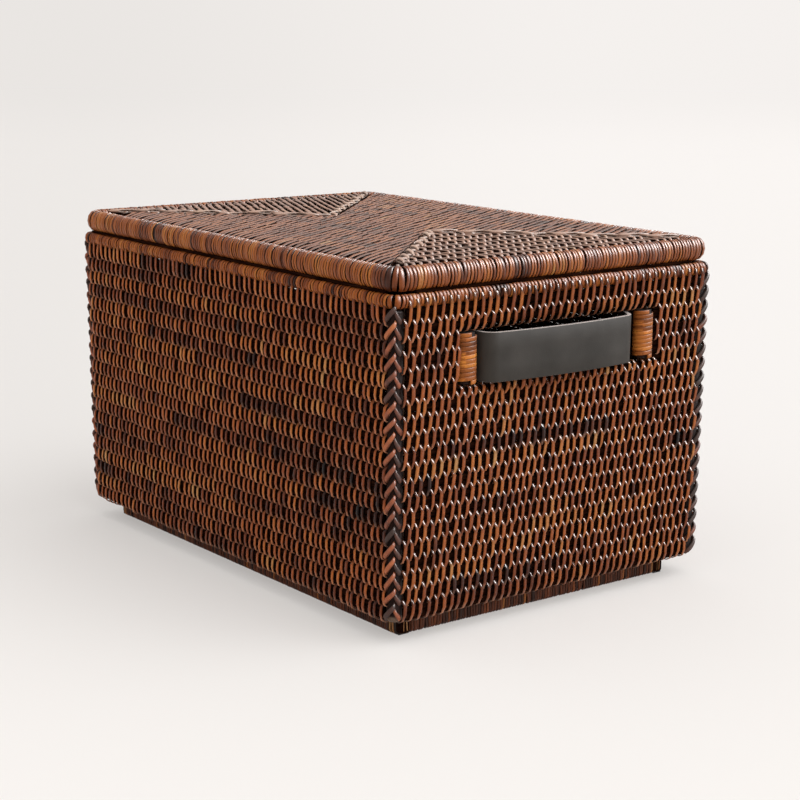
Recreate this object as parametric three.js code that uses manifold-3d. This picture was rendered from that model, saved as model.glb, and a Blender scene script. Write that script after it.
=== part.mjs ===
// A woven rattan storage box with a loose lid and a leather strap handle at each end.
// Millimetres, +Z up, X along the length, origin under the middle of the plinth.

import * as THREE from 'three';
import { mergeVertices } from 'three/addons/utils/BufferGeometryUtils.js';
import Module from 'manifold-3d';

const wasm = await Module();
wasm.setup();

// Clearance between pieces that touch on the real box
const fitGap = 0.3;

// Basket
const boxLength = 362;
const boxWidth = 250;
const wallHeight = 180.4;
const wallThickness = 6.4;
const wallBatter = 1.8;
const rowCount = 20;
const rowDepth = 1.3;
const postRadius = 4.6;
const postEndRound = 1.5;
const lacingThickness = 1.9;
const lacingDepth = 0.9;
const chevronDrop = 7.5;
const chevronCrest = 0.6;
const rimWidth = 7;
const rimHeight = 8;
const rimBendRadius = 4.1;
const bindingThickness = 1.2;

// Base and plinth
const baseThickness = 5;
const baseRailRadius = 3;
const plinthHeight = 13.4;
const plinthWidth = 12;
const plinthInset = 16.3;
const plinthEdgeRound = 3.5;
const plinthCornerRadius = 7;

// Strap handles
const gripLength = 126;
const handleDrop = 32.1;
const strapWidth = 29;
const strapThickness = 2.6;
const strapClearance = 0.5;
const strapSlack = 6.6;
const strapTurnRadius = 8;
const strapStandOff = 5;
const strapBow = 3.4;
const jambWidth = 11;
const jambDepth = 8;
const jambProud = 1;
const strandWidth = 2;
const strandThickness = 1;
const strandGap = 0.5;
const dowelRadius = 3.4;
const dowelOverhang = 8;

// Lid
const lidInset = 0.7;
const lidStandOff = 2;
const lidRimWidth = 11;
const lidRimHeight = 13.2;
const lidRimBendRadius = 5.8;
const lidWeaveThickness = 5.6;
const lidWeaveSink = 1.2;
const lidRowPitch = 9;
const seamWidth = 6.4;
const seamNotch = 1.1;
const seamProud = 0.5;
const lathWidth = 6;
const lathDrop = 7;
const lathChamfer = 1.5;
const lipOverlap = 1;

// Facet counts
const roundSides = 16;
const caneSides = 10;
const cornerSteps = 5;
const pointsPerRow = 3;
const stepsPerTurn = 14;
const lacingSteps = 4;
const bowSteps = 5;
const turnSteps = 5;
const hookSteps = 8;

// Heights and faces that follow from the sizes above
const wallFoot = plinthHeight + fitGap;
const wallTop = wallFoot + wallHeight;
const rowPitch = wallHeight / rowCount;
const rimCentre = wallTop + fitGap + rimHeight / 2;
const basketTop = rimCentre + rimHeight / 2;
const lidRimCentre = basketTop + lidStandOff + lidRimHeight / 2;
const lidTop = lidRimCentre + lidRimHeight / 2;
const lidWeaveTop = lidTop - lidWeaveSink;
const lidWeaveFoot = lidWeaveTop - lidWeaveThickness;
const postInset = lacingThickness + fitGap + postRadius;
const wallEndInset = postInset + postRadius + fitGap;
const windowHeight = strapWidth + 2 * strapClearance;
const windowCentre = wallTop - handleDrop;

// Finishes
const finish = (color, roughness) => new THREE.MeshStandardMaterial({ color, roughness, metalness: 0 });
const wovenRattan = finish(0x6b3a1e, 0.55);
const darkCane = finish(0x2e1a10, 0.6);
const rimStrand = finish(0x7a4a26, 0.42);
const goldenStrand = finish(0x9a5a24, 0.45);
const palerRattan = finish(0x7d5238, 0.55);
const strapLeather = finish(0x433c38, 0.5);

// A route whose joints are chosen by hand, each with its own direction of travel
class JointedRoute extends THREE.Curve {
  constructor(joints) {
    super();
    this.joints = joints;
  }
  jointAt(t) {
    return this.joints[Math.round(t * (this.joints.length - 1))];
  }
  getPointAt(t) {
    return this.jointAt(t).place.clone();
  }
  getTangentAt(t) {
    return this.jointAt(t).heading.clone();
  }
}

// Joints along a quarter turn about a centre, travelling anticlockwise from a start angle
function quarterTurn(centreX, centreY, radius, startAngle, height, steps) {
  const joints = [];
  for (let step = 0; step <= steps; step += 1) {
    const angle = startAngle + (step / steps) * (Math.PI / 2);
    const place = new THREE.Vector3(
      centreX + radius * Math.cos(angle),
      centreY + radius * Math.sin(angle),
      height,
    );
    const heading = new THREE.Vector3(-Math.sin(angle), Math.cos(angle), 0);
    joints.push({ place, heading });
  }
  return joints;
}

// A rectangle with round corners, as a closed route of its bends
function hoopRoute(halfLength, halfWidth, bendRadius, height) {
  const alongX = halfLength - bendRadius;
  const alongY = halfWidth - bendRadius;
  const joints = [
    ...quarterTurn(alongX, -alongY, bendRadius, -Math.PI / 2, height, cornerSteps),
    ...quarterTurn(alongX, alongY, bendRadius, 0, height, cornerSteps),
    ...quarterTurn(-alongX, alongY, bendRadius, Math.PI / 2, height, cornerSteps),
    ...quarterTurn(-alongX, -alongY, bendRadius, Math.PI, height, cornerSteps),
  ];
  return new JointedRoute([...joints, joints[0]]);
}

// A section of [outward, up] points carried along a route
function sweep(section, route) {
  const shape = new THREE.Shape(section.map(([outward, up]) => new THREE.Vector2(-up, -outward)));
  return new THREE.ExtrudeGeometry(shape, {
    steps: route.joints.length - 1,
    bevelEnabled: false,
    extrudePath: route,
  });
}

// The same round a closed route: only the sides are kept, because the two ends meet
function sweepHoop(section, route) {
  const swept = sweep(section, route);
  const sides = swept.groups.find((group) => group.materialIndex === 1);
  const corners = swept.getAttribute('position').array.slice(3 * sides.start, 3 * (sides.start + sides.count));
  const hoop = new THREE.BufferGeometry();
  hoop.setAttribute('position', new THREE.BufferAttribute(corners, 3));
  return hoop;
}

function ovalSection(halfWidth, halfHeight) {
  const points = [];
  for (let side = 0; side < caneSides; side += 1) {
    const angle = (2 * Math.PI * (side + 0.5)) / caneSides;
    points.push([halfWidth * Math.cos(angle), halfHeight * Math.sin(angle)]);
  }
  return points;
}

// A binding round an oval cane, open over a slit that faces the given angle
function bindingSection(halfWidth, halfHeight, slitAngle) {
  const halfSlit = Math.PI / 9;
  const outer = [];
  const inner = [];
  for (let side = 0; side <= caneSides; side += 1) {
    const angle = slitAngle + halfSlit + (side / caneSides) * 2 * (Math.PI - halfSlit);
    outer.push([halfWidth * Math.cos(angle), halfHeight * Math.sin(angle)]);
    inner.push([
      (halfWidth - bindingThickness) * Math.cos(angle),
      (halfHeight - bindingThickness) * Math.sin(angle),
    ]);
  }
  return [...outer, ...inner.reverse()];
}

// Booleans
function toSolid(geometry) {
  const bare = geometry.clone();
  bare.deleteAttribute('normal');
  bare.deleteAttribute('uv');
  const merged = mergeVertices(bare, 1e-4);
  return new wasm.Manifold(new wasm.Mesh({
    numProp: 3,
    vertProperties: new Float32Array(merged.getAttribute('position').array),
    triVerts: new Uint32Array(merged.index.array),
  }));
}

function toGeometry(solid) {
  const mesh = solid.getMesh();
  const geometry = new THREE.BufferGeometry();
  geometry.setAttribute('position', new THREE.BufferAttribute(new Float32Array(mesh.vertProperties), 3));
  geometry.setIndex(new THREE.BufferAttribute(new Uint32Array(mesh.triVerts), 1));
  return geometry;
}

// The walls lean in towards the foot, by the batter on each face
function lean(geometry) {
  const places = geometry.getAttribute('position');
  for (let index = 0; index < places.count; index += 1) {
    const share = (basketTop - places.getZ(index)) / (basketTop - wallFoot);
    places.setX(index, places.getX(index) * (1 - (share * wallBatter) / (boxLength / 2)));
    places.setY(index, places.getY(index) * (1 - (share * wallBatter) / (boxWidth / 2)));
  }
  return geometry;
}

const box = new THREE.Group();
const basket = new THREE.Group();
const lid = new THREE.Group();
box.add(basket, lid);

function place(group, name, geometry, material) {
  const mesh = new THREE.Mesh(geometry, material);
  mesh.name = name;
  group.add(mesh);
  return mesh;
}

// Woven sheet: rows of bound rods show as round ribs on the faces that are ribbed
function wovenOutline(rows, pitch, thickness, ribbedBelow) {
  const points = [];
  const crest = (step) => rowDepth * Math.sin((Math.PI * step) / pointsPerRow);
  for (let row = 0; row < rows; row += 1) {
    for (let step = 0; step < pointsPerRow; step += 1) {
      const along = (row + step / pointsPerRow) * pitch;
      points.push(new THREE.Vector2(along, thickness - rowDepth + crest(step)));
    }
  }
  points.push(new THREE.Vector2(rows * pitch, thickness - rowDepth));
  if (!ribbedBelow) {
    points.push(new THREE.Vector2(rows * pitch, 0), new THREE.Vector2(0, 0));
    return new THREE.Shape(points);
  }
  points.push(new THREE.Vector2(rows * pitch, rowDepth));
  for (let row = rows - 1; row >= 0; row -= 1) {
    for (let step = pointsPerRow - 1; step >= 0; step -= 1) {
      const along = (row + step / pointsPerRow) * pitch;
      points.push(new THREE.Vector2(along, rowDepth - crest(step)));
    }
  }
  return new THREE.Shape(points);
}

// A woven sheet lying flat, middle of its foot at the origin, rods along X
function wovenSheet(rows, pitch, thickness, length, ribbedBelow) {
  const sheet = new THREE.ExtrudeGeometry(wovenOutline(rows, pitch, thickness, ribbedBelow), {
    depth: length,
    bevelEnabled: false,
  });
  sheet.translate((-rows * pitch) / 2, 0, -length / 2);
  sheet.rotateX(Math.PI / 2);
  sheet.rotateZ(Math.PI / 2);
  return sheet;
}

// Walls: the sheet stands up with its ribs facing out and is turned to its side
const jambHalfWidth = jambWidth / 2 + fitGap + strandThickness;
const jambHalfDepth = jambDepth / 2 + fitGap + strandThickness;
const jambCentre = gripLength / 2 + jambHalfWidth;
const windowHalfLength = jambCentre + jambHalfWidth + fitGap;

function handleWindow(sign) {
  const opening = new THREE.BoxGeometry(4 * wallThickness, 2 * windowHalfLength, windowHeight);
  opening.translate(sign * (boxLength / 2), 0, windowCentre);
  return opening;
}

function standingWall(length, turn, halfSpan) {
  const wall = wovenSheet(rowCount, rowPitch, wallThickness, length, true);
  wall.rotateX(Math.PI / 2);
  wall.translate(0, -(halfSpan - wallThickness), wallFoot + wallHeight / 2);
  wall.rotateZ(turn);
  return wall;
}

const longWall = boxLength - 2 * wallEndInset;
const shortWall = boxWidth - 2 * wallEndInset;
place(basket, 'front_wall_weave', lean(standingWall(longWall, 0, boxWidth / 2)), wovenRattan);
place(basket, 'back_wall_weave', lean(standingWall(longWall, Math.PI, boxWidth / 2)), wovenRattan);

// Handle ends: a window in the wall, a wound jamb at each side of it and the strap between
function jambGeometry(endX, side) {
  const outline = new THREE.Shape().absellipse(0, 0, jambDepth / 2, jambWidth / 2, 0, 2 * Math.PI);
  const height = windowHeight - 2 * fitGap;
  const jamb = new THREE.ExtrudeGeometry(outline, {
    depth: height,
    bevelEnabled: false,
    curveSegments: roundSides / 2,
  });
  return jamb.translate(endX, side * jambCentre, windowCentre - height / 2);
}

// One flat strand wound up the jamb, with a short straight tail at each end
function windingGeometry(endX, side, inward) {
  const pitch = strandWidth + strandGap;
  const turns = Math.floor((windowHeight - strandWidth) / pitch);
  const startHeight = windowCentre - (turns * pitch) / 2;
  const radiusX = jambHalfDepth - strandThickness / 2;
  const radiusY = jambHalfWidth - strandThickness / 2;
  const steps = turns * stepsPerTurn;
  const rings = [];
  const addRing = (centreX, centreY, height, outX, outY) => {
    const ring = [];
    for (const [radial, up] of [[-1, -1], [-1, 1], [1, 1], [1, -1]]) {
      ring.push(new THREE.Vector3(
        endX + centreX + (radial * outX * strandThickness) / 2,
        side * jambCentre + centreY + (radial * outY * strandThickness) / 2,
        height + (up * strandWidth) / 2,
      ));
    }
    rings.push(ring);
  };
  addRing(inward * radiusX, -inward * strandWidth, startHeight, inward, 0);
  for (let step = 0; step <= steps; step += 1) {
    const angle = (2 * Math.PI * step) / stepsPerTurn;
    const facing = new THREE.Vector2(Math.cos(angle) / radiusX, Math.sin(angle) / radiusY).normalize();
    addRing(
      inward * radiusX * Math.cos(angle),
      inward * radiusY * Math.sin(angle),
      startHeight + (pitch * step) / stepsPerTurn,
      inward * facing.x,
      inward * facing.y,
    );
  }
  addRing(inward * radiusX, inward * strandWidth, startHeight + turns * pitch, inward, 0);
  return { geometry: joinRings(rings), rings };
}

// Rings of four corners joined into one closed strand
function joinRings(rings) {
  const sides = rings[0].length;
  const corners = rings.flat().flatMap((corner) => corner.toArray());
  const faces = [];
  for (let ring = 0; ring + 1 < rings.length; ring += 1) {
    for (let side = 0; side < sides; side += 1) {
      const here = ring * sides + side;
      const next = ring * sides + ((side + 1) % sides);
      faces.push(here, next, next + sides, here, next + sides, here + sides);
    }
  }
  const last = (rings.length - 1) * sides;
  faces.push(0, 2, 1, 0, 3, 2, last, last + 1, last + 2, last, last + 2, last + 3);
  const strand = new THREE.BufferGeometry();
  strand.setAttribute('position', new THREE.BufferAttribute(new Float32Array(corners), 3));
  strand.setIndex(faces);
  return strand;
}

// Least distance between the edges of a winding that lie half a turn or more apart
function leastSelfGap(rings) {
  let least = Infinity;
  for (let ring = 0; ring < rings.length; ring += 1) {
    for (let other = ring + stepsPerTurn / 2; other < rings.length; other += 1) {
      for (const corner of rings[ring]) {
        for (const far of rings[other]) {
          least = Math.min(least, corner.distanceTo(far));
        }
      }
    }
  }
  return least;
}

// Strap seen from above: out of the slot, along the front, back in, and round a dowel behind each jamb.
// It is a little shorter than the slot and lies against one jamb.
// Distances are outward from the wall's face and along the wall.
const jambInnerFace = jambProud - 2 * jambHalfDepth;
const dowelOutward = jambInnerFace - fitGap - dowelRadius;
const hookRadius = dowelRadius + fitGap + strapThickness / 2;
const strapLegAlong = gripLength / 2 - strapClearance - strapThickness / 2;
const dowelAlong = strapLegAlong + hookRadius;
const strapTailOutward = jambInnerFace - 2 * fitGap;

// Half of the strap, from the middle of its bow to its tail: the leg between the turn beside the slot
// and the hook round the dowel is the straight line that touches both
function strapHalfRoute(legAlong) {
  const route = [];
  const bandEnd = legAlong - strapTurnRadius;
  const bowRadius = (bandEnd ** 2 + strapBow ** 2) / (2 * strapBow);
  const bowAngle = Math.asin(bandEnd / bowRadius);
  for (let step = 0; step < bowSteps; step += 1) {
    const facing = (bowAngle * step) / bowSteps;
    const outward = strapStandOff + strapBow - bowRadius * (1 - Math.cos(facing));
    route.push({ outward, along: bowRadius * Math.sin(facing), facing });
  }
  const turnOutward = strapStandOff - strapTurnRadius * Math.cos(bowAngle);
  const turnAlong = bandEnd - strapTurnRadius * Math.sin(bowAngle);
  const behind = turnOutward - dowelOutward;
  const beside = dowelAlong - turnAlong;
  const slant = Math.atan2(beside, behind) - Math.asin((strapTurnRadius + hookRadius) / Math.hypot(behind, beside));
  const legFacing = Math.PI / 2 - slant;
  for (let step = 0; step <= turnSteps; step += 1) {
    const facing = bowAngle + ((legFacing - bowAngle) * step) / turnSteps;
    route.push({
      outward: turnOutward + strapTurnRadius * Math.cos(facing),
      along: turnAlong + strapTurnRadius * Math.sin(facing),
      facing,
    });
  }
  for (let step = 0; step <= hookSteps; step += 1) {
    const facing = legFacing - ((legFacing + Math.PI / 2) * step) / hookSteps;
    route.push({
      outward: dowelOutward - hookRadius * Math.cos(facing),
      along: dowelAlong - hookRadius * Math.sin(facing),
      facing,
    });
  }
  route.push({ outward: strapTailOutward, along: dowelAlong + hookRadius, facing: -Math.PI / 2 });
  return route;
}

function strapGeometry() {
  const tightHalf = strapHalfRoute(strapLegAlong);
  const slackHalf = strapHalfRoute(strapLegAlong - strapSlack);
  const offset = (joint, sideways) => [
    joint.outward + sideways * Math.cos(joint.facing),
    joint.along + sideways * Math.sin(joint.facing),
  ];
  const face = (sideways) => {
    const slack = slackHalf.map((joint) => offset(joint, sideways));
    const tight = tightHalf.slice(1).reverse().map((joint) => offset(joint, sideways));
    return [...tight.map(([outward, along]) => [outward, -along]), ...slack];
  };
  const outline = [...face(strapThickness / 2), ...face(-strapThickness / 2).reverse()];
  const shape = new THREE.Shape(outline.map(([outward, along]) => new THREE.Vector2(outward, along)));
  const strap = new THREE.ExtrudeGeometry(shape, { depth: strapWidth, bevelEnabled: false });
  return strap.translate(boxLength / 2, 0, windowCentre - strapWidth / 2);
}

// A round cane with softly rounded ends, standing on its foot at the origin
function caneGeometry(radius, length, sides) {
  const endRound = Math.min(postEndRound, radius / 2);
  const profile = [
    new THREE.Vector2(0, 0),
    new THREE.Vector2(radius - endRound, 0),
    new THREE.Vector2(radius, endRound),
    new THREE.Vector2(radius, length - endRound),
    new THREE.Vector2(radius - endRound, length),
    new THREE.Vector2(0, length),
  ];
  return new THREE.LatheGeometry(profile, sides).rotateX(Math.PI / 2);
}

const ends = [
  { name: 'right', sign: 1 },
  { name: 'left', sign: -1 },
];
const sides = [
  { name: 'front', sign: -1 },
  { name: 'back', sign: 1 },
];

for (const end of ends) {
  const wholeWall = standingWall(shortWall, (end.sign * Math.PI) / 2, boxLength / 2);
  const wall = toGeometry(toSolid(wholeWall).subtract(toSolid(handleWindow(end.sign))));
  place(basket, `${end.name}_wall_weave`, lean(wall), wovenRattan);

  const jambX = end.sign * (boxLength / 2 + jambProud - jambHalfDepth);
  for (const side of sides) {
    const label = `${end.name}_handle_jamb_${side.name}`;
    place(basket, label, lean(jambGeometry(jambX, side.sign)), darkCane);
    const winding = windingGeometry(jambX, side.sign, -end.sign);
    console.log(`${label}: least gap between turns ${leastSelfGap(winding.rings).toFixed(2)} mm`);
    place(basket, `${end.name}_handle_winding_${side.name}`, lean(winding.geometry), goldenStrand);
  }

  const strap = strapGeometry();
  strap.rotateZ(end.sign > 0 ? 0 : Math.PI);
  place(basket, `${end.name}_strap`, lean(strap), strapLeather);
  for (const side of sides) {
    const dowelLength = windowHeight + 2 * dowelOverhang;
    const dowel = caneGeometry(dowelRadius, dowelLength, caneSides);
    dowel.translate(
      end.sign * (boxLength / 2 + dowelOutward),
      side.sign * dowelAlong,
      windowCentre - dowelLength / 2,
    );
    place(basket, `${end.name}_strap_dowel_${side.name}`, lean(dowel), darkCane);
  }
}

// Corner posts, and the lacing that ties the walls to them in one chevron per row
function lacingGeometry() {
  const bend = postInset;
  const leg = postRadius;
  const halfRun = (bend * Math.PI) / 4 + leg;
  const turn = quarterTurn(-bend, bend, bend, -Math.PI / 2, 0, lacingSteps);
  const first = turn[0];
  const last = turn[turn.length - 1];
  const joints = [
    { place: first.place.clone().addScaledVector(first.heading, -leg), heading: first.heading },
    ...turn,
    { place: last.place.clone().addScaledVector(last.heading, leg), heading: last.heading },
  ];
  let run = 0;
  joints.forEach((joint, index) => {
    const step = index === 0 ? 0 : joint.place.distanceTo(joints[index - 1].place);
    run += step;
    joint.run = run;
  });
  for (const joint of joints) {
    const away = Math.abs(joint.run - run / 2) / (run / 2);
    joint.drop = (chevronDrop * away * run) / (2 * halfRun);
  }
  for (const joint of joints) {
    joint.place.setZ(-joint.drop);
  }
  const rows = Math.floor((wallHeight - chevronDrop) / rowPitch);
  const section = [[-lacingThickness, 0]];
  for (let row = 0; row < rows; row += 1) {
    section.push([-lacingDepth, row * rowPitch], [0, (row + chevronCrest) * rowPitch]);
  }
  section.push([-lacingDepth, rows * rowPitch], [-lacingThickness, rows * rowPitch]);
  return sweep(section, new JointedRoute(joints));
}

const corners = [
  { name: 'front_right', x: 1, y: -1, turn: 0 },
  { name: 'back_right', x: 1, y: 1, turn: Math.PI / 2 },
  { name: 'back_left', x: -1, y: 1, turn: Math.PI },
  { name: 'front_left', x: -1, y: -1, turn: -Math.PI / 2 },
];

for (const corner of corners) {
  const post = caneGeometry(postRadius, wallHeight, roundSides);
  const fromMiddleX = boxLength / 2 - postInset;
  const fromMiddleY = boxWidth / 2 - postInset;
  post.translate(corner.x * fromMiddleX, corner.y * fromMiddleY, wallFoot);
  place(basket, `corner_post_${corner.name}`, lean(post), darkCane);

  const lacing = lacingGeometry();
  lacing.rotateZ(corner.turn);
  lacing.translate((corner.x * boxLength) / 2, (corner.y * boxWidth) / 2, wallFoot + chevronDrop);
  place(basket, `corner_lacing_${corner.name}`, lean(lacing), wovenRattan);
}

// Rim: a bent cane hoop on top of the walls and the strand binding round it, open towards the walls
function boundHoop(group, name, halfLength, halfWidth, bendRadius, height, halfSection, slitAngle, material) {
  const [across, up] = halfSection;
  const route = () => hoopRoute(halfLength - across, halfWidth - across, bendRadius, height);
  const coreAcross = across - bindingThickness - fitGap;
  const coreUp = up - bindingThickness - fitGap;
  place(group, `${name}_hoop`, sweepHoop(ovalSection(coreAcross, coreUp), route()), darkCane);
  place(group, `${name}_binding`, sweepHoop(bindingSection(across, up, slitAngle), route()), material);
}

boundHoop(
  basket,
  'rim',
  boxLength / 2,
  boxWidth / 2,
  rimBendRadius,
  rimCentre,
  [rimWidth / 2, rimHeight / 2],
  -Math.PI / 2,
  rimStrand,
);

// Base: a woven sheet inside four round rails
const baseRailOuter = wallThickness + fitGap;
const baseSheetInset = baseRailOuter + 2 * baseRailRadius + fitGap;
const baseRows = Math.round((boxWidth - 2 * baseSheetInset) / rowPitch);
const baseRowPitch = (boxWidth - 2 * baseSheetInset) / baseRows;
const baseSheet = wovenSheet(baseRows, baseRowPitch, baseThickness, boxLength - 2 * baseSheetInset, false);
place(basket, 'base_weave', lean(baseSheet.translate(0, 0, wallFoot)), wovenRattan);

function baseRail(length, turn, halfSpan) {
  const rail = caneGeometry(baseRailRadius, length, caneSides);
  rail.translate(0, 0, -length / 2);
  rail.rotateY(Math.PI / 2);
  rail.translate(0, -(halfSpan - baseRailOuter - baseRailRadius), wallFoot + baseRailRadius);
  return rail.rotateZ(turn);
}

for (const side of sides) {
  const turn = side.sign < 0 ? 0 : Math.PI;
  const rail = baseRail(boxLength - 2 * wallEndInset, turn, boxWidth / 2);
  place(basket, `base_rail_${side.name}`, lean(rail), darkCane);
}
for (const end of ends) {
  const rail = baseRail(boxWidth - 2 * baseSheetInset, (end.sign * Math.PI) / 2, boxLength / 2);
  place(basket, `base_rail_${end.name}`, lean(rail), darkCane);
}

// Plinth: four squared canes under the base, each inside its own strand binding
function roundedRectangle(target, width, height, radius) {
  const left = -width / 2;
  target.moveTo(left + radius, 0);
  target.lineTo(left + width - radius, 0);
  target.quadraticCurveTo(left + width, 0, left + width, radius);
  target.lineTo(left + width, height - radius);
  target.quadraticCurveTo(left + width, height, left + width - radius, height);
  target.lineTo(left + radius, height);
  target.quadraticCurveTo(left, height, left, height - radius);
  target.lineTo(left, radius);
  target.quadraticCurveTo(left, 0, left + radius, 0);
  return target;
}

// The plinth's outline on the floor, with the round corners that its canes are cut to
function plinthOutline() {
  const length = boxLength - 2 * plinthInset;
  const width = boxWidth - 2 * plinthInset;
  const outline = roundedRectangle(new THREE.Shape(), length, width, plinthCornerRadius);
  const prism = new THREE.ExtrudeGeometry(outline, {
    depth: 3 * plinthHeight,
    bevelEnabled: false,
    curveSegments: cornerSteps,
  });
  return toSolid(prism.translate(0, -width / 2, -plinthHeight));
}

function plinthPiece(shape, length, turn, halfSpan) {
  const piece = new THREE.ExtrudeGeometry(shape, { depth: length, bevelEnabled: false, curveSegments: 3 });
  piece.translate(0, 0, -length / 2);
  piece.rotateX(Math.PI / 2);
  piece.rotateZ(Math.PI / 2);
  piece.translate(0, -(halfSpan - plinthInset - plinthWidth / 2), 0);
  piece.rotateZ(turn);
  return toGeometry(toSolid(piece).intersect(plinthOutline()));
}

function plinthRail(label, length, turn, halfSpan) {
  const bore = bindingThickness;
  const slack = bindingThickness + fitGap;
  const coreRound = Math.max(plinthEdgeRound - slack, fitGap);
  const boreRound = Math.max(plinthEdgeRound - bore, fitGap);
  const sleeve = roundedRectangle(new THREE.Shape(), plinthWidth, plinthHeight, plinthEdgeRound);
  const hole = roundedRectangle(new THREE.Path(), plinthWidth - 2 * bore, plinthHeight - 2 * bore, boreRound);
  hole.curves.forEach((curve) => shiftUp(curve, bore));
  sleeve.holes.push(hole);
  const core = roundedRectangle(new THREE.Shape(), plinthWidth - 2 * slack, plinthHeight - 2 * slack, coreRound);
  core.curves.forEach((curve) => shiftUp(curve, slack));
  place(basket, `plinth_rail_${label}`, plinthPiece(core, length, turn, halfSpan), darkCane);
  place(basket, `plinth_binding_${label}`, plinthPiece(sleeve, length, turn, halfSpan), darkCane);
}

function shiftUp(curve, rise) {
  for (const key of ['v0', 'v1', 'v2']) {
    if (curve[key]) {
      curve[key].y += rise;
    }
  }
}

for (const side of sides) {
  plinthRail(side.name, boxLength - 2 * plinthInset, side.sign < 0 ? 0 : Math.PI, boxWidth / 2);
}
for (const end of ends) {
  const length = boxWidth - 2 * (plinthInset + plinthWidth + fitGap);
  plinthRail(end.name, length, (end.sign * Math.PI) / 2, boxLength / 2);
}

// Lid: a bound hoop round three woven sheets that meet in laced mitres
boundHoop(
  lid,
  'lid_rim',
  boxLength / 2 - lidInset,
  boxWidth / 2 - lidInset,
  lidRimBendRadius,
  lidRimCentre,
  [lidRimWidth / 2, lidRimHeight / 2],
  Math.PI,
  rimStrand,
);

const lidSheetX = boxLength / 2 - lidInset - lidRimWidth - fitGap;
const lidSheetY = boxWidth / 2 - lidInset - lidRimWidth - fitGap;
const mitreX = lidSheetX - lidSheetY;
const seamShare = (seamWidth / 2 + fitGap) * Math.SQRT2;

function cutSheet(sheet, outline) {
  const shape = new THREE.Shape(outline.map(([x, y]) => new THREE.Vector2(x, y)));
  const cutter = new THREE.ExtrudeGeometry(shape, { depth: 3 * lidWeaveThickness, bevelEnabled: false });
  cutter.translate(0, 0, lidWeaveFoot - lidWeaveThickness);
  return toGeometry(toSolid(sheet.translate(0, 0, lidWeaveFoot)).intersect(toSolid(cutter)));
}

const middleOutline = [
  [-lidSheetX + seamShare, -lidSheetY],
  [lidSheetX - seamShare, -lidSheetY],
  [mitreX - seamShare, 0],
  [lidSheetX - seamShare, lidSheetY],
  [-lidSheetX + seamShare, lidSheetY],
  [-mitreX + seamShare, 0],
];
const middleRows = Math.ceil((2 * lidSheetY) / lidRowPitch);
const middleSheet = wovenSheet(middleRows, lidRowPitch, lidWeaveThickness, 2 * lidSheetX, true);
place(lid, 'lid_weave_middle', cutSheet(middleSheet, middleOutline), palerRattan);

for (const end of ends) {
  const outline = [
    [end.sign * lidSheetX, -end.sign * (lidSheetY - seamShare)],
    [end.sign * lidSheetX, end.sign * (lidSheetY - seamShare)],
    [end.sign * (mitreX + seamShare), 0],
  ];
  const rows = Math.ceil((2 * lidSheetX) / lidRowPitch);
  const sheet = wovenSheet(rows, lidRowPitch, lidWeaveThickness, 2 * lidSheetY, true);
  sheet.rotateZ(Math.PI / 2);
  place(lid, `lid_weave_${end.name}`, cutSheet(sheet, outline), palerRattan);
}

// Laced mitre: a band of chevron stitches from the point of the end sheet out to the lid's corner
function seamGeometry() {
  const halfWidth = seamWidth / 2;
  const start = halfWidth + fitGap;
  const finish = lidSheetY * Math.SQRT2 - halfWidth;
  const stitches = Math.max(1, Math.round((finish - start) / (lidRowPitch * Math.SQRT2)));
  const pitch = (finish - start) / stitches;
  const upper = [];
  const lower = [];
  for (let stitch = 0; stitch < stitches; stitch += 1) {
    const along = start + stitch * pitch;
    upper.push(new THREE.Vector2(along, halfWidth - seamNotch), new THREE.Vector2(along + pitch / 2, halfWidth));
    lower.push(new THREE.Vector2(along, seamNotch - halfWidth), new THREE.Vector2(along + pitch / 2, -halfWidth));
  }
  upper.push(new THREE.Vector2(finish, halfWidth - seamNotch));
  lower.push(new THREE.Vector2(finish, seamNotch - halfWidth));
  return new THREE.ExtrudeGeometry(new THREE.Shape([...lower, ...upper.reverse()]), {
    depth: lidWeaveThickness + seamProud,
    bevelEnabled: false,
  });
}

for (const corner of corners) {
  const seam = seamGeometry();
  seam.rotateZ(Math.atan2(corner.y, corner.x));
  seam.translate(corner.x * mitreX, 0, lidWeaveFoot);
  place(lid, `lid_seam_${corner.name}`, seam, palerRattan);
}

// Locating laths: they hang from the weave just inside the rim and drop into the basket's mouth,
// and a lip along each lies on the basket's rim and carries the lid a little above it
const lathInset = lidInset + lidRimWidth + fitGap;

function lathGeometry(length, turn, halfSpan) {
  const foot = basketTop - lathDrop;
  const lipFoot = basketTop + fitGap;
  const lipTop = basketTop + lidStandOff - fitGap;
  const top = lidWeaveFoot - fitGap;
  const lipReach = lathInset - rimWidth / 2 + lipOverlap;
  const section = [
    [-lathWidth, foot + lathChamfer],
    [lathChamfer - lathWidth, foot],
    [-lathChamfer, foot],
    [0, foot + lathChamfer],
    [0, lipFoot],
    [lipReach, lipFoot],
    [lipReach, lipTop],
    [0, lipTop],
    [0, top],
    [-lathWidth, top],
  ];
  const shape = new THREE.Shape(section.map(([outward, up]) => new THREE.Vector2(-outward, up)));
  const lath = new THREE.ExtrudeGeometry(shape, { depth: length, bevelEnabled: false });
  lath.translate(0, 0, -length / 2);
  lath.rotateX(Math.PI / 2);
  lath.rotateZ(Math.PI / 2);
  lath.translate(0, -(halfSpan - lathInset), 0);
  return lath.rotateZ(turn);
}

for (const side of sides) {
  const lath = lathGeometry(boxLength - 2 * lathInset, side.sign < 0 ? 0 : Math.PI, boxWidth / 2);
  place(lid, `lid_lath_${side.name}`, lath, darkCane);
}
for (const end of ends) {
  const length = boxWidth - 2 * (lathInset + lathWidth + fitGap);
  place(lid, `lid_lath_${end.name}`, lathGeometry(length, (end.sign * Math.PI) / 2, boxLength / 2), darkCane);
}

export default box;
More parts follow.
